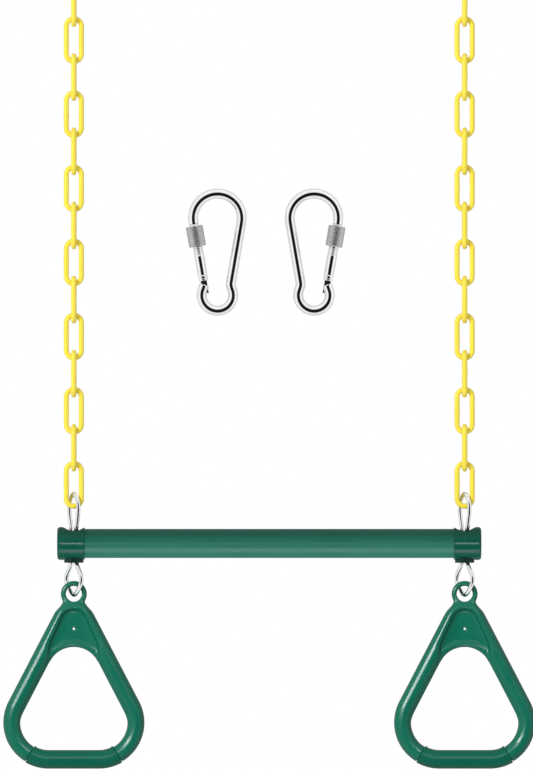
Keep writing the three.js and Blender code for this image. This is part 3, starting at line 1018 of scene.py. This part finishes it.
def past_grip(facts, x, z):
    """Distance along the centre line past the grip's end, negative under the grip."""
    cx, cz = RING_CORNER
    climb = (np.arctan2(x - cx, cz - z) - GRIP_END) * facts.corner * MM
    return np.where(z > cz, 50.0, np.where(x < cx, -20.0, climb))


def recess_outline(x, z):
    """Distance to the recess's outline: the hull of a small circle and a larger one."""
    (r1, z1), (r2, z2) = RECESS
    down = z1 - z
    h = z1 - z2
    b = (r1 - r2) / h
    a = math.sqrt(1 - b * b)
    k = -b * x + a * down
    flank = a * x + b * down - r1
    shape = np.where(k < 0, np.hypot(x, down) - r1, flank)
    return np.where(k > a * h, np.hypot(x, down - h) - r2, shape)


def ring_field(facts):
    """Distance field of a ring about its eye's centre.

    It is the smooth union of the bent tube, the neck, the eye, the web and the rolled
    lip over the opening, less the recess, the eye's hole and the web's small hole.
    """
    section, core = facts.section * MM, 7.2
    eye, hole, eye_half = facts.eye * MM, facts.eye_hole * MM, facts.eye_depth * MM / 2
    eye_mid, eye_wire = (eye + hole) / 2, (eye - hole) / 2
    web_half = facts.web * MM / 2
    arch_z, arch_r = ARCH

    def field(x, y, z):
        x, y = np.abs(x), np.abs(y)
        line = ring_outline(facts, x, z)
        from_line = np.hypot(line, y)
        past = past_grip(facts, x, z)
        tube = smooth_max(from_line - section, -past, 0.7)
        tube = np.minimum(tube, from_line - core)
        from_eye = np.hypot(x, z)
        torus = np.hypot(from_eye - eye_mid, y * eye_wire / eye_half) - eye_wire
        neck = smooth_max(np.hypot(x, np.minimum(z + 24, 0)) - 11.2, z + 3, 1.5)
        neck = smooth_max(neck, y - eye_half, 3)
        body = smooth_min(tube, neck, 7)
        from_arch = np.hypot(x, z - arch_z)
        up = -x * math.sin(RING_LEAN) + (z - arch_z) * math.cos(RING_LEAN)
        beside = x * math.cos(RING_LEAN) + (z - arch_z) * math.sin(RING_LEAN)
        opening = np.where(up > 0, from_arch, beside)
        web = smooth_max(np.maximum(line, arch_r - opening), y - web_half, 1.0)
        body = smooth_min(body, web, 3)
        wall = 0.8 * (recess_outline(x, z) - 0.6 * (y - web_half))
        pocket = smooth_max(wall, web_half - y, 2.5)
        body = smooth_max(body, -pocket, 3.0)
        lip = np.hypot(from_arch - arch_r - LIP, y) - LIP
        lip = np.where(up > 0, lip, 30.0)
        body = smooth_min(body, lip, 2.0)
        body = smooth_min(body, torus, 1.5)
        body = smooth_max(body, hole - from_eye, 0.8)
        sink = WEB_HOLE[1] + 1.1 * np.maximum(y - 1.1, 0)
        return smooth_max(body, sink - np.hypot(x, z - WEB_HOLE[0]), 0.5)

    return field


class SWING_OT_rings(bpy.types.Operator):
    """Make the two moulded rings and their grips"""

    bl_idname = "swing.make_rings"
    bl_label = "Gym rings"

    def execute(self, context):
        facts = context.scene.swing_rings
        low, high = node_box("ring_left")
        middle, room = self.middle("left"), 1.5
        points, faces, normals = skin(
            ring_field(facts), low - middle - room, high - middle + room, RING_PITCH
        )
        for side in SIDES:
            move = self.middle(side)
            new_piece(
                f"{side}_gym_ring", points + move, faces, f"{side}_ring", f"ring_{side}",
                "ring_plastic", normals,
            )
            self.grip(facts, side, move)
        return {"FINISHED"}

    @staticmethod
    def middle(side):
        """Where the middle of a ring's eye lies."""
        low, high = node_box(f"ring_{side}")
        return np.array([(low[0] + high[0]) / 2, 0, BAR_Z - EYE_DROP])

    def grip(self, facts, side, move):
        """A grip: a pipe along the ring's bottom, closed on itself.

        Its skin runs out along the outside and back through the bore. The outside has
        rounded ends, and just inside each end a low bead that stands up on the side
        towards the hand opening, as a bell curve of the distance along the path.
        """
        cx, cz = RING_CORNER
        corner, radius = facts.corner * MM, facts.grip * MM
        turn = math.degrees(GRIP_END) - math.degrees(0.3 / corner)
        path = np.concatenate(
            [
                arc_points(-cx, cz, corner, 270 - turn, 270),
                arc_points(cx, cz, corner, 270, 270 + turn),
            ]
        )
        centre = resampled(path, 0.5, soften=1.0)
        _, normal = along(centre)
        count = len(centre)
        place = np.linspace(0, 1, count)
        length_mm = np.linalg.norm(np.diff(centre, axis=0), axis=1).sum()
        from_end = np.minimum(place, 1 - place) * length_mm
        sides = 64
        angle = np.arange(sides) * TAU / sides
        centre_z = centre[:, 2]
        inward = normal * np.where(normal[:, 2:] > 0, 1, -1)
        if centre_z[0] < centre_z[count // 2]:
            raise RuntimeError("the grip's path is upside down")
        round_off = 0.9
        drop = round_off - np.sqrt(
            np.maximum(round_off**2 - np.maximum(round_off - from_end, 0) ** 2, 0)
        )
        bead = np.exp(-(((from_end - 1.9) / 1.3) ** 2))
        hand = np.clip(0.35 + 0.65 * np.cos(angle), 0, 1) ** 2
        outside = (radius - drop)[:, None] + 0.75 * bead[:, None] * hand[None, :]
        bore = np.full((count, sides), 7.5)
        there = swept(centre, inward, outside, sides)
        back = swept(centre[::-1], inward[::-1], bore, sides)
        shell(
            f"{side}_hand_grip", np.concatenate([there, back]) + move, wrap_rows=True,
            body=f"{side}_ring", node=f"ring_{side}_grip", slot="grip_plastic",
        )


# ---------------------------------------------------------------- snap hooks

HOOK_LEAN = math.radians(9.8)  # lean of the spine and the gate
NOSE = 3.0  # stations are measured down the gate's axis from the big bend
GATE_TOP = 3.5
GATE_END = 65.0
THREAD_END = 38.0
RIVET = 61.0
FORK_TOP = 57.0
SHOULDER = 72.9  # height of the flat under the gate, below the big bend's centre
SLEEVE = (4.6, 27.0)  # stations of its two ends
SLEEVE_BORE = 5.75
KNURL_AROUND, KNURL_PITCH = 36, 1.7
RIVET_HOLE = 1.6


class Gate:
    """The gate's axis, drawn on the -X side of a hook about its big bend's centre."""

    def __init__(self, big_bend):
        self.start = big_bend * np.array([-math.cos(HOOK_LEAN), 0, -math.sin(HOOK_LEAN)])
        self.down = np.array([math.sin(HOOK_LEAN), 0, -math.cos(HOOK_LEAN)])
        self.across = np.array([math.cos(HOOK_LEAN), 0, math.sin(HOOK_LEAN)])

    def at(self, station):
        """A point on the axis."""
        return self.start + self.down * station

    def place(self, points):
        """Points given as across, front to back and station, on the gate's axis."""
        x, y, s = np.moveaxis(points, -1, 0)
        return (
            self.start
            + x[..., None] * self.across
            + y[..., None] * np.array([0, 1.0, 0])
            + s[..., None] * self.down
        )


def round_rows(station, radius, sides):
    """Grid of circles about the gate's axis, as across, front to back and station."""
    angle = np.arange(sides) * TAU / sides
    radius = np.broadcast_to(np.asarray(radius, float), (len(station), sides))
    level = np.broadcast_to(np.asarray(station, float)[:, None], radius.shape)
    return np.stack([radius * np.cos(angle), radius * np.sin(angle), level], -1)


def slab(outline, half, edge, steps=4):
    """Grid of a flat plate with rounded edges: the outline drawn in by the round.

    Each row is the outline moved inwards by e(1 - sin t) at height half - e(1 - cos t).
    """
    step = np.roll(outline, -1, axis=0) - np.roll(outline, 1, axis=0)
    normal = np.stack([-step[:, 1], step[:, 0]], -1)
    normal /= np.linalg.norm(normal, axis=1)[:, None]
    middle = outline.mean(0)
    if ((outline - middle) * normal).sum() > 0:
        normal = -normal
    t = np.linspace(0, math.pi / 2, steps)
    draw = np.concatenate([edge * (1 - np.sin(t)), edge * (1 - np.sin(t[::-1]))])
    level = np.concatenate([half - edge * (1 - np.cos(t)), edge * (1 - np.cos(t[::-1])) - half])
    flat = outline[None] + draw[:, None, None] * normal[None]
    level = np.broadcast_to(level[:, None, None], flat[..., :1].shape)
    return np.concatenate([flat[..., :1], level, flat[..., 1:]], -1)


class SWING_OT_hooks(bpy.types.Operator):
    """Make the two locking snap hooks"""

    bl_idname = "swing.make_hooks"
    bl_label = "Snap hooks"

    def execute(self, context):
        facts = context.scene.swing_hooks
        gate = Gate(facts.big_bend * MM)
        for side, sign in SIDES.items():
            low, high = node_box(f"hook_{side}_frame")
            reach = facts.big_bend * MM + facts.wire * MM
            spine = high[0] if side == "left" else low[0]
            turn = np.array([-sign, -sign, 1.0])
            move = np.array([spine + sign * reach, 0, high[2] - reach])

            def put(grid):
                """A grid drawn about the big bend's centre, in this hook's place."""
                return grid * turn + move

            self.frame(facts, gate, side, put)
            self.gate(facts, gate, side, put)
            self.small_parts(facts, gate, side, put)
            self.sleeve(facts, gate, side, put)
        return {"FINISHED"}

    def frame(self, facts, gate, side, put):
        """The bent wire with its nose, and the flat tongue that the gate turns on."""
        wire, big, small = facts.wire * MM, facts.big_bend * MM, facts.small_bend * MM
        drop = facts.small_drop * MM
        lean = math.degrees(HOOK_LEAN)
        shoulder = gate.at((SHOULDER + gate.start[2]) / -gate.down[2])
        neck = shoulder * np.array([-1, 1, 1])
        path = np.concatenate(
            [
                [gate.at(NOSE)],
                arc_points(0, 0, big, 180 + lean, -lean),
                [neck],
                arc_points(0, -drop, small, 12, -192),
                [shoulder],
            ]
        )
        centre = resampled(path, 0.8, soften=1.8)
        _, inward = along(centre)
        length_mm = 0.8 * (len(centre) - 1)
        place = np.linspace(0, length_mm, len(centre))
        from_end = np.minimum(place, length_mm - place)
        edge = 0.7
        radius = wire - edge + np.sqrt(
            np.maximum(edge**2 - np.maximum(edge - from_end, 0) ** 2, 0)
        )
        body = shell(f"{side}_hook_body", put(swept(centre, inward, radius[:, None], 56)))
        around = np.radians(np.linspace(0, 180, 25))
        top = np.stack([3.5 * np.cos(around), RIVET - 3.5 * np.sin(around)], -1)
        outline = np.concatenate([top, [(-3.5, drop - 5), (3.5, drop - 5)]])
        tongue = shell("tongue", put(gate.place(slab(outline, 1.5, 0.3))))
        hole = shell("hole", put(gate.place(self.cross_rod(RIVET_HOLE, 9.0, RIVET))))
        cut(body, tongue, union=True)
        cut(body, hole)
        finish_piece(body, "hangers", f"hook_{side}_frame", "hook_steel")

    @staticmethod
    def cross_rod(radius, half, station, rows=((1.0, -1.0), (1.0, 1.0))):
        """Grid of a rod from front to back through the axis at a station."""
        angle = np.arange(40) * TAU / 40
        return np.stack(
            [
                np.stack(
                    [
                        radius * share * np.cos(angle),
                        np.full(40, half * level),
                        station + radius * share * np.sin(angle),
                    ],
                    -1,
                )
                for share, level in rows
            ]
        )

    def gate(self, facts, gate, side, put):
        """The gate: a rod with a thread on its upper part, forked and bored below.

        In the thread the radius is r - d (1 - |sin|) of pi times (station over pitch
        less the angle's share of a turn), faded in and out over its ends.
        """
        wire, pitch, depth = facts.wire * MM, facts.thread_pitch * MM, facts.thread_depth * MM
        sides = 72
        threaded = np.arange(GATE_TOP + 0.9, THREAD_END + 0.1, pitch / 10)
        plain = np.linspace(THREAD_END + 0.6, GATE_END - 0.8, 30)
        ends = np.array([0.0, 0.12, 0.4, 0.8])
        station = np.concatenate(
            [GATE_TOP + ends[:3], threaded, plain, GATE_END - ends[2::-1]]
        )
        from_end = np.minimum(station - GATE_TOP, GATE_END - station)
        edge = 0.8
        base = wire - edge + np.sqrt(
            np.maximum(edge**2 - np.maximum(edge - from_end, 0) ** 2, 0)
        )
        turn = np.arange(sides) / sides
        wave = np.abs(np.sin(math.pi * (station[:, None] / pitch - turn[None, :])))
        fade = np.clip((station - GATE_TOP - 0.5) / 0.8, 0, 1) * np.clip(
            (THREAD_END - station) / 1.2, 0, 1
        )
        radius = base[:, None] - depth * fade[:, None] * (1 - wave**0.8)
        piece = shell(f"{side}_hook_gate_rod", put(gate.place(round_rows(station, radius, sides))))
        slot_outline = np.array(
            [(-20.0, GATE_END + 9), (-20.0, FORK_TOP), (20.0, FORK_TOP), (20.0, GATE_END + 9)]
        )
        slot = shell("slot", put(gate.place(slab(slot_outline, 1.8, 0.01, 2))))
        bore = shell("bore", put(gate.place(round_rows([42.0, FORK_TOP + 1], 2.7, 32))))
        hole = shell("hole", put(gate.place(self.cross_rod(RIVET_HOLE, 9.0, RIVET))))
        seats = []
        for face in (-1, 1):
            seat = self.cross_rod(2.75, 1.0, RIVET)
            seat[..., 1] = np.where(seat[..., 1] > 0, 9.0, 4.55) * face
            seats.append(shell("seat", put(gate.place(seat))))
        cut(piece, slot)
        cut(piece, bore)
        cut(piece, hole, *seats)
        finish_piece(piece, f"{side}_hook_gate", f"hook_{side}_gate", "hook_steel")

    def small_parts(self, facts, gate, side, put):
        """The rivet with its domed heads, the coil spring and its plunger."""
        t = np.linspace(0, math.pi / 2, 7)[:-1]
        dome = [(2.55 * math.cos(a), 4.75 + 1.0 * math.sin(a)) for a in t]
        head = [(1.45, 4.6), (2.5, 4.6), *dome, (0.25, 5.75)]
        rows = [(r, -y) for r, y in head[::-1]] + head
        rod = self.cross_rod(1.0, 1.0, RIVET, rows)
        shell(
            f"{side}_hook_rivet", put(gate.place(rod)), body="hangers",
            node=f"hook_{side}_gate_pin", slot="hook_steel",
        )
        turns, coil, wire = 4.0, 1.9, 0.4
        low, high = 42.7, FORK_TOP - 4.0 - 0.7
        t = np.linspace(0, 1, 161)
        angle = TAU * turns * t
        centre = np.stack([coil * np.cos(angle), coil * np.sin(angle), low + (high - low) * t], -1)
        tangent = np.gradient(centre, axis=0)
        tangent /= np.linalg.norm(tangent, axis=1)[:, None]
        spoke = np.stack([np.cos(angle), np.sin(angle), np.zeros(len(t))], -1)
        other = np.cross(tangent, spoke)
        around = np.arange(12) * TAU / 12
        grid = centre[:, None] + wire * (
            np.cos(around)[None, :, None] * spoke[:, None]
            + np.sin(around)[None, :, None] * other[:, None]
        )
        shell(
            f"{side}_hook_coil", put(gate.place(grid)), body=f"{side}_hook_gate",
            node=f"hook_{side}_spring", slot="spring_steel",
        )
        station = np.array([0, 0.1, 0.35, 3.2, 3.6, 3.9, 4.0]) + FORK_TOP - 4.0
        radius = np.array([1.95, 2.2, 2.3, 2.3, 2.1, 1.6, 1.2])[:, None]
        shell(
            f"{side}_hook_pusher", put(gate.place(round_rows(station, radius, 40))),
            body=f"{side}_hook_gate", node=f"hook_{side}_plunger", slot="spring_steel",
        )

    def sleeve(self, facts, gate, side, put):
        """The lock sleeve: a bored nut with a crossed knurl between plain edges.

        The knurl's radius is r - d (1 - min of two ridges), where each ridge is a
        triangle wave along one of two crossed sets of helices round the sleeve.
        """
        outer, bore, depth = facts.sleeve * MM, SLEEVE_BORE, facts.knurl * MM
        top, bottom = SLEEVE
        sides = KNURL_AROUND * 8
        plain = 0.9
        station = np.arange(top + plain, bottom - plain, KNURL_PITCH / 8)
        turn = np.arange(sides) / sides
        u = KNURL_AROUND * turn[None, :]
        v = station[:, None] / KNURL_PITCH
        first = np.abs(((u + v) % 2) - 1)
        second = np.abs(((u - v) % 2) - 1)
        ridge = np.minimum(np.minimum(first, second) * 1.7, 1.0)
        fade = np.clip(np.minimum(station - top - plain, bottom - plain - station) / 0.5, 0, 1)
        knurled = outer - depth * fade[:, None] * (1 - ridge)
        edge_out = np.array([bore + 0.3, outer - 1.0, outer - 0.8, outer - 0.15, outer])
        at_top = top + np.array([0.0, 0.0, 0.06, 0.6, 0.8])
        edge_back = edge_out[::-1]
        at_bottom = bottom - np.array([0.0, 0.0, 0.06, 0.6, 0.8])[::-1]
        bore_rows = np.array([bottom - 0.3, top + 0.3])
        stations = np.concatenate([at_top, station, at_bottom, bore_rows])
        rows = [np.full((1, sides), r) for r in edge_out]
        rows += [knurled]
        rows += [np.full((1, sides), r) for r in edge_back]
        rows += [np.full((2, sides), bore)]
        grid = round_rows(stations, np.concatenate(rows), sides)
        shell(
            f"{side}_hook_knurled_nut", put(gate.place(grid)), wrap_rows=True,
            body=f"{side}_hook_sleeve", node=f"hook_{side}_lock_sleeve", slot="sleeve_steel",
        )


# ---------------------------------------------------------------- studio


def area_light(name, place, target, size, power, roll=0.0, only=()):
    """A flat soft light that faces a target, rolled about its own aim in degrees.

    Where only is given, it lights only the pieces of those names.
    """
    data = bpy.data.lights.new(name, "AREA")
    data.shape = "RECTANGLE"
    data.size, data.size_y = size
    data.energy = power
    lamp = bpy.data.objects.new(name, data)
    bpy.context.scene.collection.objects.link(lamp)
    lamp.location = place
    aim = (Vector(target) - Vector(place)).to_track_quat("-Z", "Y")
    lamp.rotation_euler = (aim @ Quaternion((0, 0, 1), math.radians(roll))).to_euler()
    lamp.visible_camera = False
    if only:
        lit = bpy.data.collections.new(name + "_lights")
        for piece in only:
            lit.objects.link(bpy.data.objects[piece])
        lamp.light_linking.receiver_collection = lit
    return lamp


KEY_AT, SIDE_AT = (-4.6, -6.4, 1.65), (2.6, -6.6, 2.3)
AHEAD_AT, BELOW_AT = (0.0, -13.0, -0.42), (0.0, -2.2, -3.6)
WINDOW_AT = (0.05, -0.16)  # across and up, as parts of a unit direction
WINDOW_HALF = (0.6, 0.62)
FLOOR_DROP = 0.045  # of the floor under the rings, in metres
KEY_ROLL, SIDE_ROLL = -27.5, 45


class SWING_OT_stage(bpy.types.Operator):
    """Make the floor, the light and the camera"""

    bl_idname = "swing.make_stage"
    bl_label = "Studio"

    def execute(self, context):
        scene = context.scene
        facts = scene.swing_studio
        scene.view_settings.view_transform = "Standard"
        self.camera(scene, facts)
        self.floor(facts)
        self.surround(scene, facts)
        low, middle = (0.0, 0.0, -0.75), (0.0, 0.0, facts.camera_z)
        soft = (
            area_light("key_strip", KEY_AT, low, (3.2, 0.4), 330, roll=KEY_ROLL),
            area_light("side_strip", SIDE_AT, low, (1.8, 0.4), 60, roll=SIDE_ROLL),
            area_light("back_fill", (3.0, 7.0, 1.5), middle, (4.0, 3.0), 260),
        )
        for lamp in soft:
            lamp.visible_glossy = False
        tube, caps = ("main_tube",), ("left_end_cup", "right_end_cup")
        rings = ("left_gym_ring", "right_gym_ring")
        grips = ("left_hand_grip", "right_hand_grip")
        numbers = range(1, LINKS_PER_CHAIN + 1)
        links = [f"{side}_chain_link_{k:02d}" for side in SIDES for k in numbers]
        area_light("chain_left", (-4.6, -6.4, 1.2), middle, (2.4, 1.2), 60, only=links)
        area_light("tube_line", AHEAD_AT, middle, (9.0, 0.5), 420, only=tube)
        area_light("cap_line", AHEAD_AT, middle, (9.0, 2.0), 950, only=caps)
        area_light("ring_left", (-4.4, -6.8, 1.6), low, (5.2, 0.8), 1000, roll=KEY_ROLL, only=rings)
        area_light("ring_right", SIDE_AT, low, (2.2, 0.5), 200, roll=SIDE_ROLL, only=rings)
        area_light("ring_over", (0.0, -7.0, 3.0), low, (6.0, 0.3), 50, only=rings)
        area_light("grip_over", (0.0, -7.0, 2.2), low, (6.0, 0.7), 300, only=grips)
        for name, place, size, power, pieces in (
            ("tube_under", BELOW_AT, (5.0, 1.6), 320, tube),
            ("cap_under", BELOW_AT, (5.0, 1.6), 145, caps),
            ("ring_under", (0.0, -6.0, -5.0), (2.4, 0.6), 150, rings),
        ):
            lamp = area_light(name, place, low, size, power, only=pieces)
            linking = lamp.light_linking
            linking.blocker_collection = linking.receiver_collection
        return {"FINISHED"}

    def camera(self, scene, facts):
        """A long lens, level with the middle of the swing, straight from the front."""
        data = bpy.data.cameras.new("camera")
        data.sensor_fit = "HORIZONTAL"
        data.sensor_width = 36.0
        data.lens = data.sensor_width * facts.distance / facts.view_width
        data.clip_end = 100.0
        camera = bpy.data.objects.new("camera", data)
        scene.collection.objects.link(camera)
        camera.location = (facts.camera_x, -facts.distance, facts.camera_z)
        camera.rotation_euler = (math.pi / 2, 0, 0)
        scene.camera = camera

    def floor(self, facts):
        """A pale floor under the swing."""
        level = CAD_BOX[0][2] - FLOOR_DROP
        corners = [(-3, -4, level), (3, -4, level), (3, 0.7, level), (-3, 0.7, level)]
        mesh = bpy.data.meshes.new("studio_floor")
        mesh.from_pydata(corners, [], [(0, 1, 2, 3)])
        floor = bpy.data.objects.new("studio_floor", mesh)
        bpy.context.scene.collection.objects.link(floor)
        material = bpy.data.materials.new("floor_paper")
        material.use_nodes = True
        tree = Tree(material.node_tree)
        place = tree.add("TexCoord").outputs["Object"]
        paper = tree.add("TexNoise", {"Vector": place, "Scale": 3.0, "Detail": 2.0})
        pale = (*facts.floor, 1.0)
        dim = (*[0.97 * value for value in facts.floor], 1.0)
        tone = tree.add(
            "Mix", {"Factor": paper.outputs["Fac"], "A": dim, "B": pale}, data_type="RGBA"
        )
        shader = tree.add(
            "BsdfPrincipled", {"Base Color": tone.outputs["Result"], "Roughness": 0.8}
        )
        out = tree.add("OutputMaterial")
        tree.tree.links.new(shader.outputs["BSDF"], out.inputs["Surface"])
        mesh.materials.append(material)
        floor.visible_glossy = False

    def surround(self, scene, facts):
        """White to the eye, dimmer as light on the swing, with a dark place to mirror.

        What is mirrored is white too, greyer behind the swing, but for a soft-edged dark
        window a little below and to the right of the lens.
        """
        world = bpy.data.worlds.new("studio_surround")
        scene.world = world
        world.use_nodes = True
        tree = Tree(world.node_tree)
        place = tree.add("TexCoord").outputs["Generated"]
        part = tree.add("SeparateXYZ", {"Vector": place})
        x, y, z = part.outputs
        behind = tree.ramp(y, 0.1, 1.0, 1.0, 0.45)
        squares = []
        for way, at, half in zip((x, z), WINDOW_AT, WINDOW_HALF):
            off = tree.math("SUBTRACT", way, at)
            share = tree.math("DIVIDE", off, half)
            squares.append(tree.math("MULTIPLY", share, share))
        dark = tree.ramp(tree.math("ADD", *squares), 0.7, 1.4, 0.01, 1.0)
        ahead = tree.ramp(y, -0.4, -0.3, 0.0, 1.0)
        mirrored = tree.math("MULTIPLY", behind, tree.math("MAXIMUM", dark, ahead))
        path = tree.add("LightPath")
        level = tree.add(
            "Mix",
            {
                "Factor": path.outputs["Is Glossy Ray"],
                "A": facts.surround,
                "B": mirrored,
            },
            data_type="FLOAT",
        )
        around = tree.add(
            "Background", {"Color": (1, 1, 1, 1), "Strength": level.outputs[0]}
        )
        seen = tree.add("Background", {"Color": (1, 1, 1, 1), "Strength": 1.0})
        mix = tree.add(
            "MixShader",
            {0: path.outputs["Is Camera Ray"], 1: around.outputs[0], 2: seen.outputs[0]},
        )
        out = tree.add("OutputWorld")
        tree.tree.links.new(mix.outputs[0], out.inputs["Surface"])


# ---------------------------------------------------------------- add-on

OPERATORS = (
    SWING_OT_chains,
    SWING_OT_bar,
    SWING_OT_connectors,
    SWING_OT_rings,
    SWING_OT_hooks,
    SWING_OT_stage,
)


class SWING_PT_panel(bpy.types.Panel):
    """Lists what can be made, and the settings of each group"""

    bl_idname = "SWING_PT_panel"
    bl_label = "Swing bar"
    bl_space_type = "VIEW_3D"
    bl_region_type = "UI"
    bl_category = "Swing Bar"

    def draw(self, context):
        layout = self.layout
        for operator in OPERATORS:
            layout.operator(operator.bl_idname)
        for key, kind in SETTINGS.items():
            box = layout.box()
            box.label(text=kind.__doc__)
            for name in kind.__annotations__:
                box.prop(getattr(context.scene, key), name)


def register():
    for kind in (*SETTINGS.values(), *OPERATORS, SWING_PT_panel):
        bpy.utils.register_class(kind)
    for key, kind in SETTINGS.items():
        setattr(bpy.types.Scene, key, bpy.props.PointerProperty(type=kind))


def unregister():
    for key in SETTINGS:
        delattr(bpy.types.Scene, key)
    for kind in (SWING_PT_panel, *OPERATORS[::-1], *list(SETTINGS.values())[::-1]):
        bpy.utils.unregister_class(kind)


def main():
    """Registers the add-on and makes every piece and the studio."""
    register()
    for operator in OPERATORS:
        group, name = operator.bl_idname.split(".")
        getattr(getattr(bpy.ops, group), name)()


if __name__ == "__main__":
    main()
